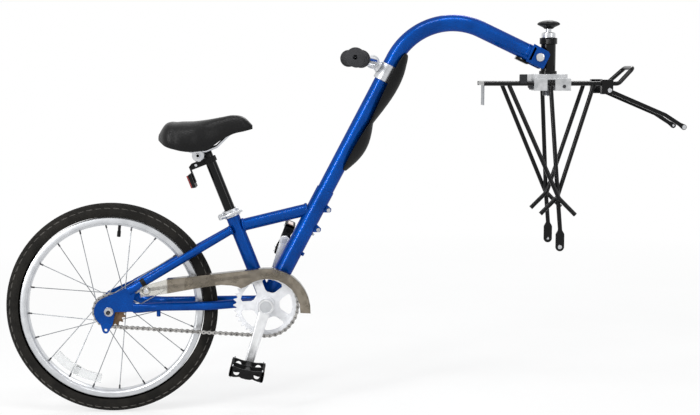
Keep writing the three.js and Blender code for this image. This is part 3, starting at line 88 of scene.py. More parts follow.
# %% [markdown]
# ## Places
# A bicycle is drawn in side view. A place is therefore found from a start, a direction in degrees, a
# distance along it, one across it and one sideways. The main places come from the boxes of the packed
# pieces.


# %% Places from the frame
def unit(vectors):
    """Each vector divided by its own length."""
    return vectors / np.linalg.norm(vectors, axis=-1, keepdims=True)


def box(node):
    """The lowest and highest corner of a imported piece, in millimetres."""
    low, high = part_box(node)
    return np.array(low) / MM, np.array(high) / MM


def middle(node):
    low, high = box(node)
    return (low + high) / 2


def half_size(node):
    low, high = box(node)
    return (high - low) / 2


def place(start, degrees, along, across=0.0, y=0.0):
    """start + along (cos a, sin a) + across (-sin a, cos a) in X and Z, with y sideways. Arrays broadcast."""
    angle = np.radians(degrees)
    x = start[0] + np.cos(angle) * along - np.sin(angle) * across
    z = start[-1] + np.sin(angle) * along + np.cos(angle) * across
    return np.stack(np.broadcast_arrays(x, y, z), -1).astype(float)


axle = middle("rim")
bb = middle("crank_spindle")
bolt = middle("pitch_bolt")
stem = middle("hitch_stem")
ground = cad_low[2] / MM
seat_tube_angle = 111.2
down_tube_angle = 62.3
boom_drop_angle = -25.5
near, far = -1, 1
both_sides = (("near", near), ("far", far))
gap = 0.3


def line_from(start, degrees):
    """A function that finds places by their distance along and across a line in side view."""
    return lambda along, across=0.0, y=0.0: place(start, degrees, along, across, y)


on_seat_tube = line_from(bb, seat_tube_angle)
on_down_tube = line_from(bb, down_tube_angle)
on_boom_end = line_from(bolt, boom_drop_angle)
print("axle", axle.round(1), "bottom bracket", bb.round(1), "pitch bolt", bolt.round(1))

# %% [markdown]
# ## Shapes as grids
# Every new surface here is a grid of points worked out as one array. A tube is a circle carried along a
# path, a turned piece is a profile carried round a line, and a plate is an outline carried along Y.


# %% Grid helpers
def surface(points, close_rows=False, caps=True):
    """Quads between neighbours of a rows x columns grid whose columns close, with a face on each open end."""
    rows, columns = points.shape[:2]
    row = np.arange(rows if close_rows else rows - 1)[:, None]
    column = np.arange(columns)[None, :]
    below = (row + 1) % rows
    right = (column + 1) % columns
    here, under = row * columns, below * columns
    corners = np.broadcast_arrays(here + column, here + right, under + right, under + column)
    faces = np.stack(corners, -1).reshape(-1, 4).tolist()
    if caps and not close_rows:
        faces.append(list(range(columns)))
        faces.append(list(range((rows - 1) * columns, rows * columns)))
    return points.reshape(-1, 3), faces


def across_path(path):
    """Two unit vectors square to the path at each of its points, from a reference that no step runs along."""
    steps = unit(np.diff(path, axis=0))
    tangents = unit(np.concatenate([steps[:1], steps[:-1] + steps[1:], steps[-1:]]))
    references = [[0, 1, 0], [0, 0, 1], [1, 0, 0], [1, 1, 0], [1, 0, 1], [1, -1, 1], [1, 2, 3]]
    references = unit(np.array(references, float))
    reference = references[np.abs(tangents @ references.T).max(0).argmin()]
    side = unit(np.cross(tangents, reference))
    return side, np.cross(side, tangents)


def circle(side, up, sides, wide=1.0, tall=1.0):
    """Ring: wide cos t side + tall sin t up, for one pair of directions or for many at once."""
    turn = 2 * np.pi * np.arange(sides) / sides
    return wide * np.cos(turn)[:, None] * side[..., None, :] + tall * np.sin(turn)[:, None] * up[..., None, :]


def tube(path, radius, sides=32, inner=0.0):
    """Ring at each path point: point + radius (cos t side + sin t up). An inner radius makes it hollow."""
    path = np.asarray(path, float)
    ring = circle(*across_path(path), sides)
    outside = path[:, None] + radius * ring
    if not inner:
        return surface(outside)
    inside = path[::-1, None] + inner * ring[::-1]
    return surface(np.concatenate([outside, inside]), close_rows=True)


def lathe(profile, start, direction, sides=64, closed=False):
    """Ring for each (radius, distance): start + distance direction + radius (cos t side + sin t up)."""
    profile = np.asarray(profile, float)
    direction = unit(np.asarray(direction, float))
    side, up = across_path(np.stack([np.zeros(3), direction]))
    spine = np.asarray(start, float) + profile[:, 1, None] * direction
    rings = profile[:, 0, None, None] * circle(side[0], up[0], sides)[None]
    return surface(spine[:, None] + rings, close_rows=closed)


def mirrored(half):
    """A profile of (radius, y) pairs followed backwards by its reflection in y."""
    return half + [(radius, -y) for radius, y in reversed(half)]


def cross_lathe(centre, y_from, y_to, profile, sides=48, closed=False):
    """A profile turned about a line along Y, with distances as shares of the way from one y to the other."""
    profile = np.asarray(profile, float) * (1, abs(y_to - y_from))
    start = (centre[0], y_from, centre[-1])
    return lathe(profile, start, (0, np.sign(y_to - y_from), 0), sides, closed)


def edge_profile(radius, length, edge=1.0, inner=0.0):
    """A round bar's or ring's profile with its edges broken, as (radius, distance) pairs."""
    outside = [(radius - edge, 0), (radius, edge), (radius, length - edge), (radius - edge, length)]
    return [(inner, 0), *outside, (inner, length)]


def bar(start, end, radius, edge=1.0, sides=32, inner=0.0):
    """A straight bar or ring between two points, with broken edges."""
    start, end = np.asarray(start, float), np.asarray(end, float)
    length = np.linalg.norm(end - start)
    return lathe(edge_profile(radius, length, edge, inner), start, end - start, sides, closed=inner > 0)


def cross_bar(centre, y_from, y_to, radius, edge=1.0, sides=32, inner=0.0):
    centre = np.asarray(centre, float)
    ends = [(centre[0], y, centre[-1]) for y in (y_from, y_to)]
    return bar(*ends, radius, edge, sides, inner)


def rounded(corners, bend, steps=8):
    """The path through the corners, each inner corner replaced by an arc of the bend radius."""
    corners = np.asarray(corners, float)
    path = [corners[:1]]
    for before, corner, after in zip(corners, corners[1:], corners[2:]):
        back, ahead = unit(before - corner), unit(after - corner)
        half = np.arccos(np.clip(back @ ahead, -1, 1)) / 2
        centre = corner + unit(back + ahead) * bend / np.sin(half)
        first = corner + back * bend / np.tan(half) - centre
        last = corner + ahead * bend / np.tan(half) - centre
        sweep = np.pi - 2 * half
        share = np.linspace(0, 1, steps + 1)[:, None]
        swung = np.sin((1 - share) * sweep) * first + np.sin(share * sweep) * last
        path.append(centre + swung / np.sin(sweep))
    path.append(corners[-1:])
    return np.concatenate(path)


def arc(centre, radius, start, end, steps=24):
    """Points of an arc in side view, as X and Z pairs."""
    return place(centre, np.linspace(start, end, steps + 1), radius)[:, [0, 2]]


def flat(spots):
    return np.asarray(spots, float)[..., [0, 2]]


def drawn_on(line, spots):
    """Pairs along and across a line, as X and Z pairs."""
    return flat([line(along, across) for along, across in spots])


def inset(loop, distance):
    """A closed outline moved to the left of its travel by a distance, with mitred corners."""
    edges = unit(np.roll(loop, -1, 0) - loop)
    left = np.stack([-edges[:, 1], edges[:, 0]], -1)
    mitre = unit(left + np.roll(left, 1, 0))
    return loop + mitre * distance / np.maximum((mitre * left).sum(-1, keepdims=True), 0.5)


def counterclockwise(loop):
    loop = np.asarray(loop, float)
    ahead = np.roll(loop, -1, 0)
    area = (loop[:, 0] * ahead[:, 1] - ahead[:, 0] * loop[:, 1]).sum()
    return loop if area > 0 else loop[::-1]


def plate(outline, y_from, y_to, holes=(), chamfer=0.6):
    """Each outline at four depths, drawn in by the chamfer at both ends, with triangles on each end."""
    low, high = min(y_from, y_to), max(y_from, y_to)
    loops = [counterclockwise(outline)] + [counterclockwise(hole)[::-1] for hole in holes]
    depths = ((low, chamfer), (low + chamfer, 0.0), (high - chamfer, 0.0), (high, chamfer))
    parts = []
    for loop in loops:
        rings = [np.insert(inset(loop, draw), 1, depth, axis=1) for depth, draw in depths]
        parts.append(surface(np.stack(rings), caps=False))
    for depth in (low, high):
        drawn = [np.insert(inset(loop, chamfer), 1, depth, axis=1) for loop in loops]
        triangles = tessellate_polygon([[Vector(spot) for spot in loop] for loop in drawn])
        parts.append((np.concatenate(drawn), [list(triangle) for triangle in triangles]))
    return merged(parts)


def merged(parts):
    """Several (points, faces) pairs as one."""
    counts = np.cumsum([0] + [len(points) for points, _ in parts])
    faces = [[corner + int(count) for corner in face]
             for (_, some), count in zip(parts, counts) for face in some]
    return np.concatenate([points for points, _ in parts]), faces


# %% [markdown]
# ## From arrays to objects
# One function turns arrays into an object: it merges what meets, turns the faces outwards, keeps edges
# sharper than an angle crisp, gives the finish and lets the piece ride on its moving body.


# %% Object helpers
def dress(mesh, name, body, finish, instead=(), sharp=34):
    """Makes the object for a finished mesh."""
    mesh.shade_smooth()
    mesh.set_sharp_from_angle(angle=math.radians(sharp))
    material, slot = finishes[finish]
    mesh.materials.clear()
    mesh.materials.append(material)
    made = bpy.data.objects.new(name, mesh)
    bpy.context.scene.collection.objects.link(made)
    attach(made, body)
    if instead:
        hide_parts(*instead)
    return made


def piece(name, body, finish, parts, instead=(), sharp=34):
    """One object from (points, faces) pairs in millimetres."""
    points, faces = merged(parts)
    mesh = bpy.data.meshes.new(name)
    mesh.from_pydata(points * MM, [], faces)
    work = bmesh.new()
    work.from_mesh(mesh)
    bmesh.ops.remove_doubles(work, verts=work.verts, dist=0.002 * MM)
    bmesh.ops.recalc_face_normals(work, faces=work.faces)
    work.to_mesh(mesh)
    work.free()
    return dress(mesh, name, body, finish, instead, sharp)


def refined(node, name, body, finish, edge=0.8, sharp=34):
    """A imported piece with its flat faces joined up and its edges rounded, for plates and blocks."""
    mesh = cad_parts[node].data.copy()
    mesh.name = name
    work = bmesh.new()
    work.from_mesh(mesh)
    bmesh.ops.remove_doubles(work, verts=work.verts, dist=0.02 * MM)
    bmesh.ops.dissolve_limit(work, angle_limit=math.radians(1), verts=work.verts, edges=work.edges)
    corners = [e for e in work.edges if len(e.link_faces) == 2 and e.calc_face_angle() > math.radians(sharp)]
    bmesh.ops.bevel(work, geom=corners, offset=edge * MM, segments=2, profile=0.5, affect="EDGES",
                    clamp_overlap=True)
    work.to_mesh(mesh)
    work.free()
    return dress(mesh, name, body, finish, (node,), 20)


# %% [markdown]
# ## Finishes
# Each finish is named for what it is and how it was made. One function adds a node with its settings and
# links, the others name the few groups of nodes that come back, and patterns are measured in real
# millimetres in Object coordinates.


# %% Node helpers
def linear(hexadecimal):
    """An sRGB hex colour as linear light."""
    channels = np.array([int(hexadecimal[k : k + 2], 16) for k in (1, 3, 5)]) / 255
    low = channels / 12.92
    high = ((channels + 0.055) / 1.055) ** 2.4
    return (*np.where(channels <= 0.04045, low, high).tolist(), 1.0)


def add_node(material, kind, inputs, **settings):
    """Adds a shader node, gives its sockets numbers or links, and returns its outputs."""
    tree = material.node_tree
    made = tree.nodes.new("ShaderNode" + kind)
    for key, value in settings.items():
        setattr(made, key, value)
    for key, value in inputs.items():
        if isinstance(value, bpy.types.NodeSocket):
            tree.links.new(value, made.inputs[key])
        else:
            made.inputs[key].default_value = value
    return made.outputs


finishes = {}


def new_finish(name, slot, roughness, metallic=0.0, **others):
    """A material with its shader, kept under its name, and the Object coordinates that its patterns read."""
    material = bpy.data.materials.new(name)
    material.use_nodes = True
    finishes[name] = material, slot
    shader = material.node_tree.nodes["Principled BSDF"]
    shader.inputs["Roughness"].default_value = roughness
    shader.inputs["Metallic"].default_value = metallic
    for key, value in others.items():
        shader.inputs[key.replace("_", " ")].default_value = value
    return material, shader, add_node(material, "TexCoord", {})["Object"]


def drive(material, shader, socket, output):
    material.node_tree.links.new(output, shader.inputs[socket])


def per_metre(size_mm):
    """The scale that makes a pattern's cell measure so many millimetres."""
    return 1 / (size_mm * MM)


def noise(material, spot, size_mm, detail=2.0):
    inputs = {"Vector": spot, "Scale": per_metre(size_mm), "Detail": detail}
    return add_node(material, "TexNoise", inputs)["Fac"]


def cells(material, spot, size_mm, **settings):
    inputs = {"Vector": spot, "Scale": per_metre(size_mm)}
    return add_node(material, "TexVoronoi", inputs, **settings)["Distance"]


def combine(material, operation, first, second):
    return add_node(material, "Math", {0: first, 1: second}, operation=operation)["Value"]


def mix(material, factor, first, second):
    return add_node(material, "Mix", {0: factor, 6: first, 7: second}, data_type="RGBA")[2]


def ramp(material, value, from_low=0.0, from_high=1.0, to_low=0.0, to_high=1.0):
    """A value carried from one range to another and held at its ends."""
    ends = {"From Min": from_low, "From Max": from_high, "To Min": to_low, "To Max": to_high}
    return add_node(material, "MapRange", {"Value": value, **ends})["Result"]


def two_tones(material, shader, factor, first, second, low=0.0, high=1.0):
    """Colour from the first tone to the second as a pattern goes from low to high."""
    mixed = mix(material, ramp(material, factor, low, high), linear(first), linear(second))
    drive(material, shader, "Base Color", mixed)
    return mixed


def relief(material, shader, height, depth_mm, strength=1.0):
    """Bump of a real depth from a pattern that goes from 0 to 1."""
    bump = add_node(material, "Bump", {"Height": height, "Distance": depth_mm * MM, "Strength": strength})
    drive(material, shader, "Normal", bump["Normal"])


def rough_range(material, shader, factor, low, high):
    """Roughness that follows a pattern."""
    drive(material, shader, "Roughness", ramp(material, factor, to_low=low, to_high=high))

# %% [markdown]
# Blue enamel is a metallic lacquer under clear coat. Aluminium flakes in it are far finer than a pixel,
# so they are drawn 1.2 mm wide to give the paint its depth, and the coat has the slight orange peel of a
# sprayed tube.


# %% Painted steel
def sprayed_blue():
    tint = linear("#0a2a9a")
    material, shader, spot = new_finish("blue_enamel", "blue_enamel", 0.34, 0.5, Specular_IOR_Level=0.04,
                                        Specular_Tint=tint, Coat_Weight=0.2, Coat_Roughness=0.03)
    flakes = combine(material, "MULTIPLY", cells(material, spot, 1.2), noise(material, spot, 60))
    two_tones(material, shader, flakes, "#003478", "#004ba4", 0.1, 0.5)
    relief(material, shader, noise(material, spot, 2.5, 1.0), 0.003, 0.4)


def grained(name, size_mm, detail, tones, span, depth_mm, strength=0.4, gloss=None, **shading):
    """Paint or plastic whose one grain sets its tone, its relief and, where given, its gloss."""
    material, shader, spot = new_finish(name, name, **shading)
    grain = noise(material, spot, size_mm, detail)
    two_tones(material, shader, grain, *tones, *span)
    if gloss:
        rough_range(material, shader, grain, *gloss)
    relief(material, shader, grain, depth_mm, strength)


sprayed_blue()
grained("black_enamel", 1.6, 3.0, ("#030304", "#08090a"), (0.35, 0.65), 0.008,
        roughness=0.16, Specular_IOR_Level=0.16, Coat_Weight=0.08, Coat_Roughness=0.05)
grained("pale_enamel", 14, 4.0, ("#d9dadd", "#e6e7ea"), (0.35, 0.65), 0.02,
        roughness=0.32, metallic=0.1, Coat_Weight=0.3, Coat_Roughness=0.1)

# %% [markdown]
# Moulded plastics carry a spark-eroded grain of about a millimetre. The chain guard and the wheel
# reflector let light through, so their shaders transmit, and the reflectors have a lens of small cells.


# %% Plastics
flange_edge = (-0.0578, -0.0568)
tab_edge = (-0.897, -0.901)


def smoky():
    """Brown-grey where it guards the chain, nearly clear on the tab behind, and darker on its top flange."""
    material, shader, spot = new_finish("smoky_plastic", "smoky_plastic", 0.13, IOR=1.45,
                                        Specular_IOR_Level=0.2)
    clouds = noise(material, spot, 25, 5.0)
    body = two_tones(material, shader, clouds, "#7b7264", "#9b9284", 0.35, 0.68)
    axes = add_node(material, "SeparateXYZ", {"Vector": spot})
    shaded = mix(material, ramp(material, axes["Y"], *flange_edge), body, linear("#2e2822"))
    tab = ramp(material, axes["X"], *tab_edge)
    drive(material, shader, "Base Color", mix(material, tab, shaded, linear("#d5d3cc")))
    drive(material, shader, "Transmission Weight", ramp(material, tab, to_low=0.55, to_high=0.75))
    relief(material, shader, clouds, 0.012, 0.4)


def faceted(name, slot, size_mm, tones, high, strength, **shading):
    """Clear or coloured plastic with a lens of small cells."""
    material, shader, spot = new_finish(name, slot, 0.12, **shading)
    facets = cells(material, spot, size_mm)
    two_tones(material, shader, facets, *tones, 0.0, high)
    relief(material, shader, facets, 0.3, strength)


grained("black_plastic", 0.9, 2.0, ("#080809", "#141415"), (0.3, 0.7), 0.06, 0.5, (0.38, 0.6),
        roughness=0.46, Specular_IOR_Level=0.15)
smoky()
faceted("clear_plastic", "smoky_plastic", 3, ("#e9ebec", "#f7f8f8"), 1.0, 0.6,
        Transmission_Weight=0.85, IOR=1.49)
for name, tones in (("red_reflector", ("#c41a1c", "#6d0a0c")), ("amber_reflector", ("#e8871a", "#a34a06"))):
    faceted(name, "red_reflector", 2.4, tones, 0.7, 0.5, Coat_Weight=1.0, Coat_Roughness=0.03)

# %% [markdown]
# Rubber is matt, and dust settles in its grain. The saddle's cover is a vinyl skin with a leather grain
# about two millimetres wide, pressed into it by an embossed roller.


# %% Rubber and vinyl
def rubber(name, dark, light, grain_mm, roughness):
    """Dusty rubber. Where a mesh marks its block edges in an attribute, these edges get a painted highlight
    of pale grey.
    """
    material, shader, spot = new_finish(name, name, roughness, Specular_IOR_Level=0.15)
    clouds = noise(material, spot, 35, 6.0)
    plain = two_tones(material, shader, clouds, dark, light, 0.35, 0.7)
    highlight_mask = add_node(material, "Attribute", {}, attribute_name="edge_highlight")["Fac"]
    edge_highlight = combine(material, "MULTIPLY", highlight_mask, clouds)
    # The pale grey on the marked block edges is a painted highlight, mixed in with the dust.
    drive(material, shader, "Base Color", mix(material, edge_highlight, plain, linear("#6f6c68")))
    rough_range(material, shader, clouds, roughness - 0.08, roughness + 0.08)
    relief(material, shader, noise(material, spot, grain_mm), 0.08, 0.5)


def embossed_vinyl():
    material, shader, spot = new_finish("saddle_cover", "saddle_cover", 0.36, Specular_IOR_Level=0.2)
    creases = ramp(material, cells(material, spot, 2.2, feature="DISTANCE_TO_EDGE"), from_high=0.12)
    # The creases are painted a shade darker than the grain between them: painted shade in the valleys.
    two_tones(material, shader, creases, "#040404", "#0b0b0c")
    rough_range(material, shader, creases, 0.5, 0.34)
    relief(material, shader, creases, 0.12, 0.6)


rubber("tyre_rubber", "#12110f", "#23211e", 1.1, 0.78)
rubber("bumper_rubber", "#2b2c2e", "#3a3b3d", 0.9, 0.75)
rubber("grip_rubber", "#2c2c2e", "#3b3b3d", 0.8, 0.7)
embossed_vinyl()

# %% [markdown]
# Bare metal is seen through its surface: polished aluminium blurs reflections a little, plated steel is
# close to a mirror, and the sprocket's heat-treated steel is brown. Fine scratches a millimetre wide
# vary the gloss.


# %% Bare metal
def metal(name, slot, dark, light, rough_low, rough_high):
    material, shader, spot = new_finish(name, slot, rough_low, 1.0)
    stretch = add_node(material, "Mapping", {"Vector": spot, "Scale": (1.0, 1.0, 6.0)})["Vector"]
    scratches = noise(material, stretch, 6, 5.0)
    two_tones(material, shader, noise(material, spot, 20, 3.0), dark, light, 0.35, 0.65)
    rough_range(material, shader, scratches, rough_low, rough_high)
    relief(material, shader, scratches, 0.01, 0.4)


for name, slot, *numbers in (
    ("aluminium", "aluminium", "#c0c2c5", "#cdcfd2", 0.25, 0.42),
    ("bright_aluminium", "aluminium", "#dfe0e2", "#ecedee", 0.3, 0.42),
    ("cast_aluminium", "aluminium", "#b0b2b4", "#cfd0d2", 0.3, 0.46),
    ("chrome_steel", "chrome_steel", "#b9bbbe", "#d0d1d4", 0.12, 0.26),
    ("chain_steel", "chrome_steel", "#8f8d8a", "#b5b3b0", 0.26, 0.44),
    ("spoke_steel", "chrome_steel", "#7d8084", "#9a9da1", 0.3, 0.5),
    ("brown_steel", "brown_steel", "#5a4736", "#7a6450", 0.35, 0.5),
    ("dark_steel", "brown_steel", "#3c3c3e", "#55565a", 0.3, 0.45),
):
    metal(name, slot, *numbers)
print("finishes:", len(finishes))

# %% [markdown]
# ## Wheel
# The tyre's section is a circle, and its tread is cut into that circle: two grooves run round it, and
# short slanted grooves part the shoulders into blocks. The blocks end in a step down to the side wall,
# and that edge gets a pale painted highlight. The grid is fine enough to hold each groove's edge.

# %% Tyre
_, tyre_half, tyre_radius = half_size("tyre")
tyre_wall = 4
tyre_mouth = 65
tread_blocks = 72
groove_depth = 1.4
shoulder_lean = 58
tyre_steps = 864


def soft_step(value, edge, width):
    """0 below the edge and 1 above it, with a straight ramp of the given width."""
    return np.clip((value - edge) / width + 0.5, 0, 1)


def block_phase(turn, lean):
    """Where a place lies in its tread block, from 0 to 1, with 0.5 in the slot. The slots slant."""
    return (turn * tread_blocks / 360 + np.abs(lean) * 0.03 + 0.5 * (lean > 0)) % 1


def tread_height(turn, lean):
    """Minus the groove depth inside a groove. turn goes round the wheel and lean across it, in degrees."""
    side = np.abs(lean)
    ring_groove = 1 - soft_step(np.abs(side - 17), 2.2, 1.6)
    phase = block_phase(turn, lean)
    slot = (1 - soft_step(np.abs(phase - 0.5), 0.13, 0.07)) * soft_step(side, 26, 3)
    centre_slot = (1 - soft_step(np.abs(phase - 0.5), 0.06, 0.05)) * (1 - soft_step(side, 9, 3))
    side_wall = soft_step(side, shoulder_lean, 2.5)
    bead_line = 1 + 0.35 * (1 - soft_step(np.abs(side - 96), 1.4, 1.2))
    grooves = np.broadcast_arrays(ring_groove, slot, 0.7 * centre_slot, side_wall * bead_line)
    return -groove_depth * np.maximum.reduce(grooves)


def edge_highlight_share(turn, lean):
    """1 on the outer edge of each shoulder block, where the pale painted highlight goes, 0 elsewhere."""
    side = np.abs(lean)
    block = soft_step(np.abs(block_phase(turn, lean) - 0.5), 0.17, 0.04)
    return block * (1 - soft_step(np.abs(side - shoulder_lean - 0.5), 1.9, 1.2))


def tyre_surface():
    """Point at (turn, lean): the section's circle, out by the tread height, carried round the axle."""
    turn = np.linspace(0, 360, tyre_steps, endpoint=False)[:, None]
    mouth = 180 - tyre_mouth
    fine = [np.linspace(-mouth, -69, 9), np.linspace(-67, 67, 101), np.linspace(69, mouth, 9)]
    fine = np.concatenate(fine)[None]
    inside = np.linspace(mouth, -mouth, 16)[None]
    inner_half = np.full((tyre_steps, inside.size), tyre_half - tyre_wall)
    half = np.concatenate([tyre_half + tread_height(turn, fine), inner_half], 1)
    lean = np.radians(np.concatenate([fine, inside], 1))
    return place(axle, turn, tyre_radius - tyre_half + half * np.cos(lean), 0, half * np.sin(lean))


tyre = piece("tyre_tread", "wheel", "tyre_rubber", [surface(tyre_surface(), close_rows=True)], ("tyre",), 40)
tyre_spots = np.zeros(len(tyre.data.vertices) * 3)
tyre.data.vertices.foreach_get("co", tyre_spots)
from_axle = tyre_spots.reshape(-1, 3) / MM - axle
from_core = np.hypot(from_axle[:, 0], from_axle[:, 2]) - (tyre_radius - tyre_half)
tyre_turn = np.degrees(np.arctan2(from_axle[:, 2], from_axle[:, 0]))
tyre_lean = np.degrees(np.arctan2(from_axle[:, 1], from_core))
outside = np.hypot(from_axle[:, 1], from_core) > tyre_half - 2.5
# The shoulder blocks' outer edges are marked for a painted highlight of pale grey.
edge_highlight = tyre.data.attributes.new("edge_highlight", "FLOAT", "POINT")
edge_highlight.data.foreach_set("value", edge_highlight_share(tyre_turn, tyre_lean) * outside)

# %% [markdown]
# The rim is a rolled box of polished aluminium with a flat brake track on each side. Its section is
# turned about the axle. The hub is turned too, with two flanges that the spokes hook into.

# %% Rim and hub
_, rim_half, rim_outer = half_size("rim")
rim_inner = 194
rim_section = mirrored([
    (rim_inner, -6), (rim_inner + 1, -10), (rim_inner + 3, -13.5), (rim_inner + 6, -rim_half + 0.6),
    (rim_inner + 6.6, -rim_half), (rim_outer - 1.5, -rim_half), (rim_outer, -rim_half + 0.8),
    (rim_outer, -rim_half + 2.2), (rim_outer - 4, -rim_half + 3), (rim_outer - 9, -5),
])

_, hub_end, flange_radius = half_size("hub")
flange_y = 27
flange_thickness = 3
flange_out = flange_y + flange_thickness
hub_section = mirrored([
    (5.4, hub_end), (11, hub_end), (12, hub_end - 1), (12, flange_out + 1), (13.5, flange_out),
    (flange_radius - 0.6, flange_out), (flange_radius, flange_out - 0.6), (flange_radius, flange_y + 0.6),
    (flange_radius - 0.6, flange_y), (17, flange_y), (15.2, flange_y - 2), (14.5, flange_y - 8), (13.5, 6),
])
wheel_metal = (("rim_hoop", "rim", rim_section, 180), ("hub_shell", "hub", hub_section, 64))
for name, node, section, sides in wheel_metal:
    turned = lathe(section, (axle[0], 0, axle[2]), (0, 1, 0), sides, True)
    piece(name, "wheel", "aluminium", [turned], (node,), 30)

# %% [markdown]
# Twenty spokes leave the two flanges at a tangent, half of them leading and half trailing, so that each
# crosses others on its side. All spokes of a side are worked out in one array, and their dark nipples in
# another.

# %% Spokes
spokes_per_side = 10
spoke_radius = 1.05
spoke_sweep = 72
spoke_circle = flange_radius + 1.6
spoke_root_y = flange_y + flange_thickness / 2
spoke_tip_y = 4
spoke_phases = {"near": 3.6, "far": 21.6}
nipple_length = 6
nipple_radius = 2.0


def rods(starts, ends, radius, sides=8):
    """Many straight round rods at once: end points in (n, 3) arrays, rings in an (n, 2, sides, 3) array."""
    along = unit(ends - starts)
    side = unit(np.cross(along, (0.0, 1.0, 0.2)))
    ring = radius * circle(side, np.cross(side, along), sides)
    grids = np.stack([starts[:, None] + ring, ends[:, None] + ring], 1)
    return [surface(grid) for grid in grids]


nipples = []
for name, side in both_sides:
    number = np.arange(spokes_per_side)
    base = spoke_phases[name] + 360 / spokes_per_side * number
    lean = np.where(number % 2, -spoke_sweep, spoke_sweep)
    roots = place(axle, base, spoke_circle, 0, side * spoke_root_y)
    tips = place(axle, base + lean, rim_inner - 1.6, 0, side * spoke_tip_y)
    heads = place(axle, base, spoke_circle - 3, 0, side * (spoke_root_y + 3.2))
    spokes = rods(roots, tips, spoke_radius) + rods(heads, roots, spoke_radius * 1.3)
    piece(f"laced_spokes_{name}", "wheel", "spoke_steel", spokes, (f"spokes_{name}",))
    inward = unit(roots - tips)
    nipples += rods(tips - inward * 2, tips + inward * nipple_length, nipple_radius)
piece("spoke_nipples", "wheel", "dark_steel", nipples)

# %% [markdown]
# The valve, the clear reflector between the spokes and the axle with its cones and nuts finish the
# wheel. The reflector is a thin curved box that follows the rim.

# %% Valve, wheel reflector and axle
valve_angle = 84


def on_valve(depth):
    return place(axle, valve_angle, rim_inner - depth)


valve_stem = bar(on_valve(1), on_valve(24), 3.4, 0.5)
valve_cap = bar(on_valve(13), on_valve(27), 4.3, 1.0)
piece("valve_with_cap", "wheel", "black_plastic", [valve_stem, valve_cap])

reflector_angle = 240
reflector_sweep = 20.5
reflector_radius = 169
reflector_depth = 10.5


def curved_box(centre_radius, half_depth, half_sweep, y_low, y_high, steps=32):
    """A box bent round the axle: its rounded section is carried from one angle to the other."""
    corners = np.array(mirrored([(-1, -0.7), (-0.85, -1), (0.85, -1), (1, -0.7)]))
    turn = np.linspace(reflector_angle - half_sweep, reflector_angle + half_sweep, steps)[:, None]
    y = (y_low + y_high) / 2 + corners[:, 1] * (y_high - y_low) / 2
    return surface(place(axle, turn, centre_radius + corners[:, 0] * half_depth, 0, y))


reflector_parts = [curved_box(reflector_radius, reflector_depth, reflector_sweep, -13, -8)]
reflector_parts += [curved_box(reflector_radius, reflector_depth + 1, 2.2, -14.5, -7, 6)]
piece("wheel_reflector", "wheel", "clear_plastic", reflector_parts)

axle_low, axle_high = box("wheel_axle")
dropout_inner, dropout_outer = 55, 59
nut_height = 9
washer_teeth = 24
axle_parts = []
turn = np.arange(washer_teeth * 6) * 360 / (washer_teeth * 6)
washer = flat(place(axle, turn, 10.5 + 0.5 * np.cos(np.radians(turn * washer_teeth))))
for side in (near, far):
    axle_parts.append(cross_bar(axle, side * (hub_end + gap), side * (dropout_inner - gap), 9, 0.8))
    nut_from, nut_to = side * (dropout_outer + 2.2), side * (dropout_outer + nut_height)
    axle_parts.append(cross_bar(axle, nut_from, nut_to, 9.4, 1.4, 6, 5.2))
    washer_from, washer_to = side * (dropout_outer + gap), side * (dropout_outer + 2)
    axle_parts.append(plate(washer, washer_from, washer_to, [arc(axle, 5.2, 0, 352, 30)], 0.3))
piece("axle_nuts", "frame", "chrome_steel", axle_parts, ("wheel_axle",), 25)
threads = [(5 - 0.3 * (k % 2), k / 160) for k in range(1, 160)]
thread_profile = [(0, 0), (4.2, 0), *threads, (4.2, 1), (0, 1)]
threaded_bar = cross_lathe(axle, axle_low[1], axle_high[1], thread_profile, 32)
piece("threaded_axle", "frame", "dark_steel", [threaded_bar], (), 30)
print("wheel done, tyre radius", round(tyre_radius, 1))

# %% [markdown]
# ## Drive
# A sprocket tooth is a rounded hump between two rollers. The outline is a wave of the angle: its crest
# is flattened by a power of the cosine, so that the valleys fit the rollers.

# %% Chainring and sprocket
chain_pitch = 12.7
chain_line = -44
tooth_half_thickness = 1.3
ring_teeth, sprocket_teeth = 36, 18
ring_radius = chain_pitch / 2 / math.sin(math.pi / ring_teeth)
sprocket_radius = chain_pitch / 2 / math.sin(math.pi / sprocket_teeth)
tooth_tip, tooth_root = 3.4, 4.0


def toothed(centre, teeth, pitch_radius, steps=10):
    """Outline radius: valley + (tip - valley) (0.5 + 0.5 cos(teeth angle)) to the power 1.6."""
    turn = np.arange(teeth * steps) * 360 / (teeth * steps)
    wave = (0.5 + 0.5 * np.cos(np.radians(turn * teeth))) ** 1.6
    return flat(place(centre, turn, pitch_radius - tooth_root + (tooth_tip + tooth_root) * wave))


ring_y = (chain_line - tooth_half_thickness, chain_line + tooth_half_thickness)
window_inner, window_outer, window_half_angle = 31, 60, 26
window_turn = -106


def ring_window(angle):
    """A window of the chainring: two arcs about the bottom bracket joined by rounded corners."""
    corners = [(-1, window_outer), (-0.62, window_inner), (0.62, window_inner), (1, window_outer)]
    corners = [place(bb, angle + window_half_angle * share, radius) for share, radius in corners]
    left, inner_left, inner_right, right = flat(corners)
    outer = arc(bb, window_outer, angle + window_half_angle - 5, angle - window_half_angle + 5, 16)
    draw = 0.16
    left_side = [left + (inner_left - left) * draw, inner_left + (left - inner_left) * draw]
    right_side = [inner_right + (right - inner_right) * draw, right + (inner_right - right) * draw]
    bottom = arc(bb, window_inner, angle - window_half_angle * 0.4, angle + window_half_angle * 0.4, 6)
    return np.concatenate([outer, left_side, bottom, right_side])


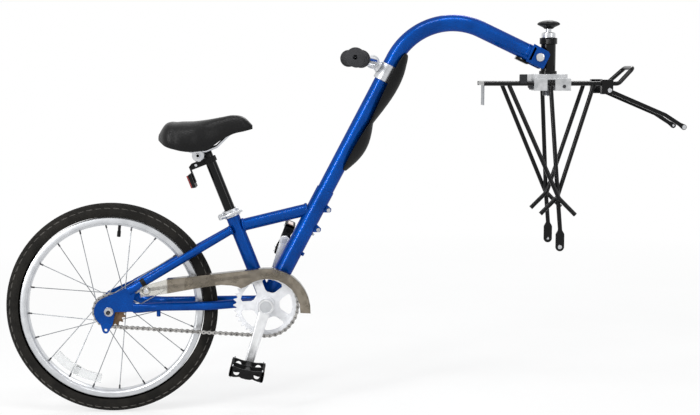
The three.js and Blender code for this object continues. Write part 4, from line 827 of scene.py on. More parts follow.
window_angles = [360 * (k + 0.5) / 5 + window_turn for k in range(5)]
ring_holes = [ring_window(angle) for angle in window_angles] + [arc(bb, 14.4, 0, 352, 44)]
ring_parts = [plate(toothed(bb, ring_teeth, ring_radius), *ring_y, ring_holes, 0.5)]
for angle in window_angles:
    rivet = place(bb, angle + 36, 52)
    ring_parts.append(cross_bar(rivet, ring_y[0] - 1.2, ring_y[0] + 0.2, 3.2, 0.8, 20))
ring_boss = [(14.4, 0), (20, 0), (21, 0.2), (21, 1), (14.4, 1)]
ring_parts.append(cross_lathe(bb, ring_y[0] - 4, ring_y[1], ring_boss, 64, True))
piece("chainring_plate", "cranks", "pale_enamel", ring_parts, ("chainring",), 28)

freewheel_from = -hub_end + gap
freewheel_to = box("sprocket")[1][1]
freewheel = [(12.4, 0), (20, 0), (21, 0.06), (21, 0.94), (20, 1), (12.4, 1)]
sprocket_outline = toothed(axle, sprocket_teeth, sprocket_radius)
sprocket_parts = [plate(sprocket_outline, *ring_y, [arc(axle, 12.4, 0, 352, 44)], 0.5),
                  cross_lathe(axle, freewheel_from, freewheel_to, freewheel, 48, True)]
piece("sprocket_wheel", "sprocket", "brown_steel", sprocket_parts, ("sprocket",), 28)

# %% [markdown]
# The chain has eighty-four links of half an inch. Its path is two arcs and two straight runs, and a pin
# sits at every pitch of that length. Outer and inner links take turns, and each plate is a waisted
# figure of eight.

# %% Chain
links = 84
chain_centres = math.hypot(bb[0] - axle[0], bb[2] - axle[2])
centre_slope = math.degrees(math.asin((bb[2] - axle[2]) / chain_centres))
run_slope = math.degrees(math.asin((ring_radius - sprocket_radius) / chain_centres))
upper, lower = 90 + centre_slope + run_slope, -90 + centre_slope - run_slope
run_length = math.sqrt(chain_centres**2 - (ring_radius - sprocket_radius) ** 2)
ring_arc = math.radians(upper - lower) * ring_radius
sprocket_arc = math.radians(360 - upper + lower) * sprocket_radius
chain_length = ring_arc + sprocket_arc + 2 * run_length


def between(first, last, share):
    return first + (last - first) * share[..., None]


def on_chain(share):
    """The pitch line at a share of its length: round the ring, back on top, round the sprocket, forward."""
    s = (share % 1) * chain_length
    on_ring = place(bb, lower + np.degrees(s / ring_radius), ring_radius)
    back = s - ring_arc
    top = between(place(bb, upper, ring_radius), place(axle, upper, sprocket_radius), back / run_length)
    behind = back - run_length
    on_sprocket = place(axle, upper + np.degrees(behind / sprocket_radius), sprocket_radius)
    ahead = behind - sprocket_arc
    bottom = between(place(axle, lower, sprocket_radius), place(bb, lower, ring_radius), ahead / run_length)
    ends = [(s < ring_arc)[..., None], (back < run_length)[..., None], (behind < sprocket_arc)[..., None]]
    return np.select(ends, [on_ring, top, on_sprocket], bottom)


pins = on_chain(np.arange(links) / links)
next_pins = np.roll(pins, -1, 0)
link_angles = np.degrees(np.arctan2((next_pins - pins)[:, 2], (next_pins - pins)[:, 0]))


def link_outlines(radius):
    """Every link's waisted figure of eight about its two pins: two arcs with a spot between on each side."""
    heading = link_angles[:, None]
    first = place(pins.T[..., None], heading + np.linspace(70, 290, 7), radius)
    second = place(next_pins.T[..., None], heading + np.linspace(-110, 110, 7), radius)
    centre = (pins + next_pins).T[..., None] / 2
    low, high = (place(centre, heading, 0, waist) for waist in (-radius / 2, radius / 2))
    return np.concatenate([first, low, second, high], 1)


link_radius, plate_thickness = 4.4, 0.9
outer_offset, inner_offset = 2.8, 1.7
plates = []
for number, outline in enumerate(link_outlines(link_radius)):
    offset = (outer_offset, inner_offset)[number % 2]
    for side in (near, far):
        faces_y = [chain_line + side * offset, chain_line + side * (offset + plate_thickness)]
        plates.append(surface(np.stack([outline + (0, y, 0) for y in faces_y])))
along_y = np.array([0.0, 1.0, 0.0])
centre_pins = pins * (1, 0, 1) + (0, chain_line, 0)


def cross_rods(centres, half, radius, sides):
    """Many short rods along Y."""
    ring = circle(np.array([1.0, 0, 0]), np.array([0, 0, 1.0]), sides) * radius
    grids = [np.stack([centre - half * along_y + ring, centre + half * along_y + ring]) for centre in centres]
    return [surface(grid) for grid in grids]


piece("chain_links", "frame", "chain_steel", plates, ("chain",), 30)
rollers, link_pins = cross_rods(centre_pins, 1.6, 3.8, 10), cross_rods(centre_pins, 3.9, 1.8, 8)
piece("chain_rollers", "frame", "dark_steel", rollers + link_pins)
print("chain", round(chain_length / chain_pitch, 2), "pitches")

# %% [markdown]
# The crank arms are forged aluminium. An arm is lofted: a rounded section is carried from the boss to
# the pedal eye while its width changes, and the round bosses are turned pieces sunk into it.

# %% Cranks
crank_length = 140
crank_angle = -106.9
crank_inner, crank_outer = 64, 76
pedal_gap, pedal_width = 2, 88
crank_ring_inner = 13.2
spindle_low, spindle_high = box("crank_spindle")


def softened_box(half_width, half_thickness, power=4.0, sides=28):
    """A superellipse: |x/w|^p + |y/t|^p = 1, as width and thickness pairs."""
    turn = 2 * np.pi * np.arange(sides) / sides
    bent = lambda wave: np.sign(wave) * np.abs(wave) ** (2 / power)
    return half_width * bent(np.cos(turn)), half_thickness * bent(np.sin(turn))


def crank_arm(side, degrees):
    """The arm from the boss ring to the pedal eye, a little hollow along its outer face."""
    share = np.linspace(0, 1, 25)
    half_width = np.interp(share, [0, 0.1, 0.5, 0.9, 1], [13, 12.6, 11.2, 10.6, 11])
    wide, thick = softened_box(1.0, 1.0, 5.0, 40)
    hollow = 1.2 * np.clip(1 - (wide / 0.62) ** 2, 0, 1) * (thick > 0)
    hollow = hollow[None, :] * (soft_step(share, 0.17, 0.06) * (1 - soft_step(share, 0.83, 0.06)))[:, None]
    y = side * ((crank_inner + crank_outer) / 2 + thick[None, :] * (crank_outer - crank_inner) / 2 - hollow)
    along = crank_ring_inner + 1 + share * (crank_length - crank_ring_inner - 1)
    return surface(place(bb, degrees, along[:, None], half_width[:, None] * wide[None, :], y))


def crank_parts(side, degrees):
    eye = place(bb, degrees, crank_length)
    inner = -ring_y[1] if side == near else 38
    hub = cross_bar(bb, side * inner, side * crank_inner, 14, 0.8, 48, 8.4)
    profile = [(8.4, 0), (16.6, 0), (17.6, 0.08), (17.6, 0.9), (16.4, 1), (13.8, 1), (crank_ring_inner, 0.94),
               (crank_ring_inner, 0.7), (8.4, 0.7)]
    boss = cross_lathe(bb, side * (crank_inner - 4), side * crank_outer, profile, 72, True)
    eye_boss = cross_bar(eye, side * crank_inner, side * (crank_outer - 0.2), 12, 1.2, 44)
    spindle_end = crank_outer + pedal_gap + pedal_width * 0.9
    spindle = cross_bar(eye, side * (crank_outer - 6), side * spindle_end, 4.5, 0.6)
    return [crank_arm(side, degrees), hub, boss, eye_boss, spindle]


def crank_details(side, degrees):
    """The dust cap over the spindle's bolt and the pedal spindle's end."""
    eye = place(bb, degrees, crank_length)
    cap_radius = crank_ring_inner - 0.1
    profile = [(0, 0), (cap_radius, 0), (cap_radius, 0.9), (crank_ring_inner - 0.5, 1), (0, 1)]
    cap = cross_lathe(bb, side * (spindle_high[1] + 0.3), side * (crank_outer - 0.9), profile, 64)
    end = cross_bar(eye, side * (crank_inner - 0.8), side * (crank_inner + 0.4), 6.5, 0.4)
    return cap, end


cranks = (("right", near, crank_angle), ("left", far, crank_angle + 180))
for name, side, degrees in cranks:
    parts = crank_parts(side, degrees)
    piece(f"crank_arm_{name}", "cranks", "bright_aluminium", parts, (f"crank_{name}",))
details = zip(*(crank_details(side, degrees) for _, side, degrees in cranks))
piece("crank_caps", "cranks", "aluminium", [part for kind in details for part in kind])
spindle_bar = cross_bar(bb, spindle_low[1], spindle_high[1], 8, 1)
piece("spindle_bar", "cranks", "chrome_steel", [spindle_bar], ("crank_spindle",))

# %% [markdown]
# A platform pedal is a moulded body round a barrel. Its end plates have scalloped edges and round
# openings, two toothed rails join them, steel pins stand at the corners and an amber reflector sits in
# each long face.

# %% Pedals
pedal_length, pedal_height = 78, 24
pedal_tilts = {"right": -12, "left": 68}
scalloped_edge = [(-39, -8), (-35, -11.5), (-28, -12), (-21, -10.8), (-15, -9.2), (-9, -11.4)]
hollowed_edge = [(39, 8), (35, 12), (28, 11.6), (18, 9.8), (8, 9.4)]
end_plate = np.array([
    *scalloped_edge, (0, -12), *((-x, z) for x, z in reversed(scalloped_edge)),
    *hollowed_edge, (0, 9.6), *((-x, z) for x, z in reversed(hollowed_edge)),
], float)
plate_openings = ((-23, -0.5, 6.6), (23, -0.5, 6.6))


def on_pedal(centre, tilt, spots):
    """Pairs along and across the pedal, as X and Z pairs."""
    spots = np.asarray(spots, float)
    return flat(place(centre, tilt, spots[:, 0], spots[:, 1]))


def pedal_wall(centre, tilt, y_range, openings=plate_openings, shrink=1.0):
    """A scalloped plate of the pedal, square to the spindle, with round openings."""
    turn = np.radians(np.arange(24) * 15)
    holes = [on_pedal(centre, tilt, np.stack([a + radius * np.cos(turn), b + radius * np.sin(turn)], -1))
             for a, b, radius in openings]
    return plate(on_pedal(centre, tilt, end_plate * shrink), *y_range, holes, 0.8)


def pedal_rail(centre, tilt, end, y_range, teeth=7):
    """A long rail whose two gripping edges rise and fall in teeth: the section is carried along Y."""
    y = np.linspace(*y_range, teeth * 8 + 1)
    share = (y - y[0]) / (y[-1] - y[0])
    wave = np.clip(np.cos(2 * np.pi * share * teeth) * 1.6, -1, 1)
    half = pedal_height / 2 - 1.6 + 1.6 * wave
    outer, inner = end * (pedal_length / 2 - 0.6), end * (pedal_length / 2 - 6)
    draw = 0.8 * end
    along = np.array([outer - draw, outer, outer, outer - draw, inner + draw, inner, inner, inner + draw])
    rise = np.array([-1, -0.86, 0.86, 1, 1, 0.86, -0.86, -1])
    return surface(place(centre, tilt, along[None, :], half[:, None] * rise[None, :], y[:, None]))


def pedal_pins(centre, tilt, ends):
    """A steel pin at each corner, standing out above and below."""
    pins = []
    for y in ends:
        for x in (-33.5, 33.5):
            pins.append(bar(place(centre, tilt, x, -14.5, y), place(centre, tilt, x, 15.5, y), 1.5, 0.3, 16))
    return pins


def pedal(name, side, degrees):
    """The body with its rails, walls and barrel, then its pins, then its two reflectors."""
    body = f"pedal_{name}"
    centre = place(bb, degrees, crank_length)
    tilt = pedal_tilts[name]
    start = side * (crank_outer + pedal_gap)
    end = side * (crank_outer + pedal_gap + pedal_width)
    parts = [pedal_rail(centre, tilt, edge, sorted((start, end))) for edge in (-1, 1)]
    barrel_hole = (0, 0, 6.2)
    holes = (*plate_openings, barrel_hole)
    parts.append(pedal_wall(centre, tilt, (start, start + side * 5), holes))
    parts.append(pedal_wall(centre, tilt, (start + side * 42, start + side * 45), (barrel_hole,), 0.94))
    parts.append(pedal_wall(centre, tilt, (end - side * 5, end), holes))
    barrel = [(4.9, 0), (9, 0), (9.6, 0.02), (9.4, 0.12), (8.2, 0.16), (8.2, 0.8), (9, 0.84), (9, 0.98),
              (8.6, 1), (4.9, 1)]
    parts.append(cross_lathe(centre, start, end - side * 4, barrel, 40, True))
    parts.append(cross_lathe(centre, end - side * 5, end, [(0, 0), (8, 0), (8, 0.7), (6.6, 1), (0, 1)], 40))
    piece(f"pedal_body_{name}", body, "black_plastic", parts, (body,))
    pins = pedal_pins(centre, tilt, (start + side * 2.6, end - side * 2.6))
    piece(f"pedal_pins_{name}", body, "chrome_steel", pins)
    lenses = []
    for edge in (-1, 1):
        inner, outer = edge * (pedal_length / 2 - 1.6), edge * pedal_length / 2
        corners = on_pedal(centre, tilt, [(inner, -6), (outer, -6), (outer, 6), (inner, 6)])
        lenses.append(plate(corners, start + side * 16, end - side * 16, (), 0.3))
    piece(f"pedal_reflectors_{name}", body, "amber_reflector", lenses)


for name, side, degrees in cranks:
    pedal(name, side, degrees)

# %% [markdown]
# ## Frame
# The frame is welded from steel tubes. Each tube is a circle carried along its own line, and each joint
# gets a low weld bead, which is what makes a painted frame look welded and not glued.

# %% Frame tubes
seat_tube_radius = 15.9
seat_tube_length = 232
boom_radius = 19.05
sleeve_radius = 20.95
sleeve_length = 297
top_tube_radius = 14.3
shell_radius = 20


def weld(centre, direction, radius, size=2.4):
    """A bead round a tube: a ring whose radius ripples like laid weld metal, 20 ripples round."""
    sides, rows = 160, 9
    turn = 2 * np.pi * np.arange(sides) / sides
    across = np.pi * np.linspace(0, 1, rows)
    direction = unit(np.asarray(direction, float))
    side, up = across_path(np.stack([np.zeros(3), direction]))
    swell = size * (0.82 + 0.18 * np.cos(20 * turn))
    out = radius - 0.6 + swell[None, :] * np.sin(across)[:, None]
    along = -size * 1.3 * np.cos(across)[:, None, None] * direction
    return surface(np.asarray(centre, float) + along + out[..., None] * circle(side[0], up[0], sides)[None])


def socket_head(radius, edge, hole):
    """The profile of a screw's head whose socket goes half way through it."""
    return [(0, 0), (radius, 0), (radius, 0.8), (edge, 1), (hole + 0.1, 1), (hole, 0.5), (0, 0.5)]


seat_direction = unit(on_seat_tube(1) - on_seat_tube(0))
down_direction = unit(on_down_tube(1) - on_down_tube(0))
seat_path = [on_seat_tube(17), on_seat_tube(seat_tube_length)]
piece("seat_tube_round", "frame", "blue_enamel", [tube(seat_path, seat_tube_radius, 56, 13.0),
      weld(on_seat_tube(21.5), seat_direction, seat_tube_radius)], ("seat_tube",))

lug_places = (206, 258)
lug_corners = np.array([(-11, -19.6), (-4, -33), (0, -35), (5, -33), (9, -19.6)])
lug_parts, lug_bolts = [], []
for distance in lug_places:
    outline = drawn_on(on_down_tube, lug_corners + (distance, 0))
    for side in (near, far):
        lug_parts.append(plate(outline, side * 1.2, side * 6, (), 0.8))
    lug_middle = on_down_tube(distance, -28)
    lug_bolts.append(cross_bar(lug_middle, -9, 9, 2.4, 0.4))
    lug_bolts.append(cross_lathe(lug_middle, -6, -11, socket_head(4.6, 4, 2.2), 40))
    lug_bolts.append(cross_bar(lug_middle, 6, 10, 4.6, 0.7, 6))
boss_places = ((138, -20.6, 4.4, 5.5), (190, -20.8, 2.6, 5))
bosses = [bar(on_down_tube(along, across), on_down_tube(along, across - height), radius, 0.8, 24)
          for along, across, radius, height in boss_places]
piece("down_tube_sleeve", "frame", "blue_enamel",
      [tube([on_down_tube(17), on_down_tube(sleeve_length)], sleeve_radius, 64, boom_radius + 0.4),
       weld(on_down_tube(22), down_direction, sleeve_radius), *lug_parts, bosses[0]], ("down_tube",))
piece("sleeve_bolts", "frame", "chrome_steel", [*lug_bolts, bosses[1]], (), 30)

top_from, top_to = on_seat_tube(190), on_down_tube(250)
top_direction = unit(top_to - top_from)
top_path = [top_from + top_direction * 14, top_to - top_direction * 19]
top_beads = [weld(spot, top_direction, top_tube_radius)
             for spot in (top_from + top_direction * 16.8, top_to - top_direction * 22.5)]
top_parts = [tube(top_path, top_tube_radius, 56, 12.7), *top_beads]
piece("top_tube_round", "frame", "blue_enamel", top_parts, ("top_tube",))

shell_low, shell_high = box("bottom_bracket_shell")
shell = cross_bar(bb, shell_low[1], shell_high[1], shell_radius, 0.8, 64, 8.7)
piece("bracket_shell", "frame", "blue_enamel", [shell], ("bottom_bracket_shell",))
cup_profile = [(8.4, 0), (17.5, 0), (17.5, 0.6), (16, 1), (8.4, 1)]
cups = [cross_lathe(bb, side * 34, side * (34 + width), cup_profile, 24, True)
        for side, width in ((near, 2.4), (far, 3))]
piece("bracket_cups", "frame", "dark_steel", cups, (), 20)

# %% [markdown]
# The stays are thinner tubes. A chainstay runs along the wheel, passes the tyre and then leans in to the
# bottom bracket. At the rear each stay is pressed flat and slotted over the dropout plate.

# %% Stays and dropouts
chainstay_rear = axle + (56, 0, 8)
seatstay_rear = axle + (46, 0, 48)
seatstay_top = on_seat_tube(190)
seatstay_run = seatstay_top - seatstay_rear
seatstay_angle = math.degrees(math.atan2(seatstay_run[2], seatstay_run[0]))
stay_y = 57
stay_wide, stay_narrow, seatstay_spread = 37, 23, 13
passes_tyre, leans_in = 225, 300


def pressed_tube(path, radius, flat_length, sides=40):
    """A tube that is oval at its start: the ring narrows along Y and grows in height over the flat length."""
    first_step = np.linspace(path[0], path[1], 6)[:-1]
    path = np.concatenate([first_step, path[1:]])
    reach = np.linalg.norm(path - path[0], axis=1)
    press = (1 - soft_step(reach, flat_length * 0.8, flat_length))[:, None, None]
    side, up = across_path(path)
    flip = np.abs(side[:, 1:2]) > np.abs(up[:, 1:2])
    across_y, square = np.where(flip, side, up), np.where(flip, up, side)
    ring = circle(across_y, square, sides, radius * (1 - 0.25 * press), radius * (1 + 0.1 * press))
    return surface(path[:, None] + ring)


def stay_start(rear, degrees, side):
    """A stay's flat end, and the spot twenty millimetres along where it begins to lean in."""
    return [place(rear, degrees, 0, 0, side * stay_y), place(rear, degrees, 20, 0, side * (stay_y - 1))]


for name, side in both_sides:
    corners = np.array([
        *stay_start(chainstay_rear, 0, side),
        (axle[0] + passes_tyre / 2, side * stay_wide, chainstay_rear[2]),
        (axle[0] + passes_tyre, side * stay_wide, chainstay_rear[2] + 1),
        (axle[0] + leans_in, side * stay_narrow, bb[2]), (bb[0] - 16, side * stay_narrow, bb[2]),
    ])
    bead = weld(corners[-1] - (3.2, 0, 0), (1, 0, 0), 10)
    parts = [pressed_tube(rounded(corners, 60, 8), 10, 26), bead]
    piece(f"chainstay_tube_{name}", "frame", "blue_enamel", parts, (f"chainstay_{name}",))
    corners = np.array([*stay_start(seatstay_rear, seatstay_angle, side),
                        (seatstay_top[0], side * seatstay_spread, seatstay_top[2])])
    path = rounded(corners, 60, 6)
    inward = unit(path[-1] - path[-2])
    path[-1] -= inward * 12
    parts = [pressed_tube(path, 9, 26), weld(path[-1] - inward * 3.4, inward, 9)]
    piece(f"seatstay_tube_{name}", "frame", "blue_enamel", parts, (f"seatstay_{name}",))
    refined(f"dropout_{name}", f"dropout_plate_{name}", "frame", "blue_enamel", 0.5)

strap_spots = ((33, 53.8), (43, 52.2))
strap_ends = [place(seatstay_rear, seatstay_angle, along, 0, near * y) for along, y in strap_spots]
piece("seatstay_strap", "frame", "black_plastic", [bar(*strap_ends, 10.2, 0.6, 48, 9.05)])
boss_x, boss_z = -921.6, -157.7
boss_ends = [(boss_x, near * 37.6, boss_z + 13), (boss_x, near * 37.6, boss_z - 5.5)]
piece("chainstay_boss", "frame", "blue_enamel", [bar(*boss_ends, 4.6, 0.8, 28)])

# %% [markdown]
# ## Boom
# The boom is one tube with a high bend near its front end. It slides in the down tube's sleeve, and its
# end carries a forged clevis that hangs on the steering sleeve by the pitch bolt.

# %% Boom and clevis
boom_bend_radius = 152
boom_turn = math.radians(down_tube_angle - boom_drop_angle)
drop = math.radians(boom_drop_angle)
square_to_drop = np.array([-math.sin(drop), 0, math.cos(drop)])
corner_on_down_tube = (bolt - bb) * (1, 0, 1) @ square_to_drop / math.sin(boom_turn)
boom_bend_start = corner_on_down_tube - boom_bend_radius * math.tan(boom_turn / 2)
boom_centre = place(on_down_tube(boom_bend_start), down_tube_angle, 0, -boom_bend_radius)
bend_turn = np.linspace(down_tube_angle + 90, boom_drop_angle + 90, 49)
boom_end = on_boom_end(-34)
boom_bend = place(boom_centre, bend_turn, boom_bend_radius)
boom_path = np.concatenate([[on_down_tube(150), on_down_tube(300), on_down_tube(500)], boom_bend, [boom_end]])
piece("boom_tube", "boom", "blue_enamel", [tube(boom_path, boom_radius, 72, 17.4)], ("boom",))

cheek_profile = [(-25.5, -22), (14, -22), (17.5, -21), (19, -17.5), (19, 13), (17, 17), (11, 20), (-25.5, 22)]
cheek_outline = drawn_on(on_boom_end, cheek_profile)
bolt_hole = [arc(bolt, 6.4, 0, 352, 40)]
clevis_parts = [plate(cheek_outline, side * 21, side * 26, bolt_hole, 1.0) for _, side in both_sides]
web_outline = drawn_on(on_boom_end, ((-22, -18), (-15, -15), (-15, 15), (-22, 18)))
clevis_parts.append(plate(web_outline, -26, 26, (), 0.8))
socket_start, socket_end = on_boom_end(-33.7), on_boom_end(-20)
socket_profile = [(0, 0), (19.1, 0), (19.6, 0.8), (19.8, 3), (19.8, 13.7), (0, 13.7)]
clevis_parts.append(lathe(socket_profile, socket_start, socket_end - socket_start, 64))
piece("clevis_fork", "boom", "blue_enamel", clevis_parts, ("clevis",), 30)

bolt_low, bolt_high = box("pitch_bolt")
bolt_parts = [cross_bar(bolt, bolt_low[1] + 1, bolt_high[1] - 1, 6, 0.5)]
bolt_head = [(0, 0), (10, 0), (10, 0.45), (9, 0.8), (7, 1), (3.6, 1), (3.4, 0.4), (0, 0.4)]
for side in (near, far):
    bolt_parts.append(cross_lathe(bolt, side * 26.3, side * bolt_high[1], bolt_head, 48))
piece("pitch_bolt_set", "boom", "chrome_steel", bolt_parts, ("pitch_bolt",), 30)
refined("latch_lever", "latch_catch", "latch", "black_enamel", 1.2)

# %% [markdown]
# The splash guard is a moulded sheet, narrow at its waist and wrapped back at its edges. Its grid
# follows the boom: one parameter runs along it and the other from edge to edge.

# %% Splash guard
guard_from, guard_to, guard_sheet = boom_bend_start - 281, boom_bend_start + 22, 2.5
guard_waist = 0.42
end_half, waist_half, lobe_half = 14, 22, 42
waist_out, lobe_out = 24, 40
boom_clear = boom_radius + 0.3
bend_lean = math.tan(math.radians((down_tube_angle - boom_drop_angle) / 14))


def guard_spot(share, across, lift):
    """Half width and distance from the boom swell between the waist and each end, most near the upper end."""
    toward = np.where(share < guard_waist, share / guard_waist, (1 - share) / (1 - guard_waist))
    bulge = np.sin(np.pi * np.where(share < guard_waist, toward, toward**0.75))
    half = end_half + (waist_half - end_half) * toward + (lobe_half - waist_half) * bulge
    out = boom_clear + (waist_out - boom_clear) * toward + (lobe_out - waist_out) * bulge
    back = (6 + 20 * bulge) * across**2
    distance = guard_from + (guard_to - guard_from) * share
    lean = np.maximum(0, distance - boom_bend_start) * bend_lean
    return on_down_tube(distance, -(out + lean - back + lift), half * across)


def guard_surface():
    share = np.linspace(0, 1, 121)[:, None]
    across = np.linspace(-1, 1, 25)[None, :]
    front, back = guard_spot(share, across, guard_sheet), guard_spot(share, across[:, ::-1], 0)
    edge = guard_spot(share, np.array([[1.02, -1.02]]), guard_sheet / 2)
    return np.concatenate([front, edge[:, :1], back, edge[:, 1:]], 1)


piece("splash_guard_sheet", "boom", "black_plastic", [surface(guard_surface())], ("splash_guard",), 50)

# %% [markdown]
# ## Handlebar
# A clamp band on the boom carries a short cast neck, and the neck's bracket grips the bar. A ribbed
# cover sits on the band's front half. The bar sweeps back in two bends a side, and each rubber grip is
# turned about its end, with fine ribs under the fingers.

# %% Handlebar, clamp and grips
neck_angle, bar_reach = 141, 42
band_half_length, bracket_half, neck_half_depth = 20, 18, 12.6
clamp_place = boom_bend_start - 38
clamp_centre = on_down_tube(clamp_place)
bar_centre = place(clamp_centre, neck_angle, bar_reach)
band_ends = [on_down_tube(clamp_place + along) for along in (-band_half_length, band_half_length)]
band = bar(*band_ends, 23.35, 1.2, 72, boom_radius + 0.3)
bracket = cross_bar(bar_centre, -bracket_half, bracket_half, 15.4, 1.2, 56, 11.6)
neck_share = np.linspace(0, 1, 13)
neck_path = place(clamp_centre, neck_angle, 20 + (bar_reach - 13.5 - 20) * neck_share)
neck_wide, neck_thick = softened_box(1.0, 1.0, 3.0, 40)
neck_half = np.interp(neck_share, [0, 0.5, 1], [15, 12.5, 12])
neck_across = neck_half[:, None] * neck_wide[None, :]
neck_y = neck_half_depth * neck_thick[None, :] + 0 * neck_across
neck = surface(place(neck_path[:, None].transpose(2, 0, 1), neck_angle, 0, neck_across, neck_y))
piece("bar_clamp_casting", "bar_clamp", "aluminium", [band, bracket, neck], ("bar_clamp",))
clamp_screws = []
for along in (-11, 11):
    screw = on_down_tube(clamp_place + along, -26)
    clamp_screws.append(cross_lathe(screw, -4, -9, socket_head(4.2, 3.6, 2), 36))
    clamp_screws.append(cross_bar(screw, -6, 7, 2.5, 0.3))
piece("bar_clamp_screws", "bar_clamp", "chrome_steel", clamp_screws, (), 30)


def band_cover():
    """A moulded cover on the band's front half. Its section is one circle with ribs."""
    turn = np.radians(np.arange(0, 360, 3))
    radius = 21 + 0.5 * np.clip(2 * np.cos(15 * turn), -1, 1)
    along = np.array([-19, -18.2, 18.2, 19])[:, None]
    around = radius * np.array([0.97, 1, 1, 0.97])[:, None]
    return surface(on_down_tube(clamp_place + along, -8 + around * np.cos(turn), around * np.sin(turn)))


piece("bar_clamp_cover", "bar_clamp", "grip_rubber", [band_cover()])
ear_corners = np.array([(-16, -22), (-15, -29), (15, -29), (16, -22)])
ear_outline = drawn_on(on_down_tube, ear_corners + (clamp_place, 0))
band_ears = [plate(ear_outline, side * 1.2, side * 5, (), 0.8) for _, side in both_sides]
piece("bar_clamp_ears", "bar_clamp", "aluminium", band_ears)


def bar_corner(y, share):
    return (bar_centre[0] - 48 * share, y, bar_centre[2] + 9 * share)


bar_bends = ((-238, 0.98), (-135, 0.62), (-40, 0), (40, 0), (135, 0.62), (238, 0.98))
bar_path = rounded([bar_corner(*bend) for bend in bar_bends], 45, 10)
piece("handlebar_tube", "handlebar", "chrome_steel", [tube(bar_path, 11.1, 48, 9.5)], ("handlebar",))

grip_length = 108
for name, side in both_sides:
    tip, root = np.array(bar_corner(side * 244, 1)), np.array(bar_corner(side * 135, 0.62))
    outward = unit(tip - root)
    start = tip + outward * (5 - grip_length)
    s = np.linspace(9, 90, 163)
    ribs = 16.2 + 0.7 * np.sin(np.pi * (s - 9) / 81) + 0.45 * np.clip(np.sin(2 * np.pi * s / 3.6) * 2, -1, 1)
    profile = [(11.8, 0), (19, 0.4), (19.8, 1.2), (19.8, 4), (18.6, 5.6), *zip(ribs, s), (17, 92.5),
               (20.4, 94.5), (21, 96), (21, 101), (20.2, 102.6), (5.5, 103), (5, 102.2), (5, 98.6),
               (11.8, 98.4)]
    grip = lathe(profile, start, outward, 64, True)
    piece(f"grip_ribbed_{name}", "handlebar", "grip_rubber", [grip], (f"grip_{name}",), 24)

# %% [markdown]
# ## Seat
# A collar with a quick-release lever squeezes the seat tube round the post. The post narrows at its top,
# where the saddle's clamp sits behind it.

# %% Seat clamp, lever and post
collar_radius = seat_tube_radius + 0.3 + 3.5
collar = bar(on_seat_tube(215), on_seat_tube(233), collar_radius, 1.2, 64, seat_tube_radius + 0.35)
ear_corners = ((217.5, 17.5), (217.5, 31.5), (230, 31.5), (230, 17.5), (217.5, 17.5))
ear_outline = flat(rounded([on_seat_tube(a, b) for a, b in ear_corners], 3, 6)[:-1])
ears = [plate(ear_outline, side * 1.4, side * 8, (), 0.7) for _, side in both_sides]
piece("seat_collar", "frame", "aluminium", [collar, *ears], ("seat_clamp",))
pivot = on_seat_tube(223, collar_radius + 6, -12.8)
piece("seat_clamp_bolt", "frame", "chrome_steel",
      [cross_bar(pivot, -8, 12, 2.6, 0.4), cross_bar(pivot, 8, 12.5, 6, 0.8, 6)])


def lever_blade():
    """The lever's flat oval section, carried along its bend and widened towards the finger end."""
    spots = ((-2, -14), (-22.4, -26.2), (-54, -23.7))
    path = rounded([place(pivot, seat_tube_angle, 0, across, y) for across, y in spots], 22, 12)
    share = np.linspace(0, 1, len(path))
    tangents = unit(np.gradient(path, axis=0))
    along_tube = np.broadcast_to(seat_direction, tangents.shape)
    thick = unit(np.cross(tangents, along_tube))
    wide = np.interp(share, [0, 0.3, 0.7, 0.93, 1], [3.6, 3.4, 4.2, 4.4, 2.6])[:, None, None]
    slim = np.interp(share, [0, 0.3, 1], [3.2, 2.2, 1.8])[:, None, None]
    return surface(path[:, None] + circle(along_tube, thick, 28, wide, slim))


lever_hub = bar(pivot - seat_direction * 4.4, pivot + seat_direction * 4.4, 4.4, 0.6)
piece("quick_release_lever", "seat_lever", "aluminium", [lever_blade(), lever_hub], ("seat_lever",))

post_profile = [(0, 0), (11.1, 0), (12.7, 1.2), (12.7, 205), (12.3, 211), (11.2, 216), (11, 218), (11, 239.6),
                (10.2, 241), (0, 241)]
post = lathe(post_profile, on_seat_tube(140), seat_direction, 64)
knuckle = on_seat_tube(376.5, 19.5)
arm = plate(drawn_on(on_seat_tube, ((370, 4), (369, 19.5), (384, 19.5), (380, 4))), -9.8, 9.8, (), 1.0)
post_parts = [post, arm, cross_bar(knuckle, -10, 10, 9, 1.0, 48)]
piece("seat_post_tube", "seat_post", "black_enamel", post_parts, ("seat_post",))

# %% [markdown]
# The saddle hangs on a bent wire. Two serrated washers and a bolt clamp the wire to the post's knuckle.

# %% Saddle rails and clamp
rail_level = knuckle + (0, 0, 9)


def wire_spot(x, z, y):
    return (rail_level[0] + x, y, rail_level[2] + z)


wire_half = [wire_spot(-32, 7, -22), wire_spot(-16, 0, -22), wire_spot(18, 1.5, -22), wire_spot(42, 11, -17),
             wire_spot(80, 48, -11)]
wire_corners = np.array(wire_half + [(x, -y, z) for x, y, z in reversed(wire_half)])
saddle_wire = tube(rounded(wire_corners, 7, 6), 3.5, 20)
piece("saddle_wire", "saddle", "chrome_steel", [saddle_wire], ("saddle_rails",))
clamp_parts = [cross_bar(knuckle, -30, 30, 4, 0.6)]
washer_pair = [(0, 0), (14, 0), (14, 0.3), (13.2, 0.36), (13.2, 0.5), (14, 0.56), (14, 0.9), (12.8, 1),
               (0, 1)]
for side in (near, far):
    clamp_parts.append(cross_lathe(knuckle, side * 10.3, side * 27, washer_pair, 48))
    clamp_parts.append(cross_bar(knuckle, side * 26.5, side * 30, 6.5, 0.8, 6))
piece("saddle_clamp_set", "saddle", "chrome_steel", clamp_parts, ("saddle_clamp",), 25)

# %% [markdown]
# The saddle is moulded foam on a plastic base, under a stretched vinyl cover. Stations along its length
# give its width, its top and its lower edge, and a smooth curve through them fills the grid. The lower
# edge is rolled in.

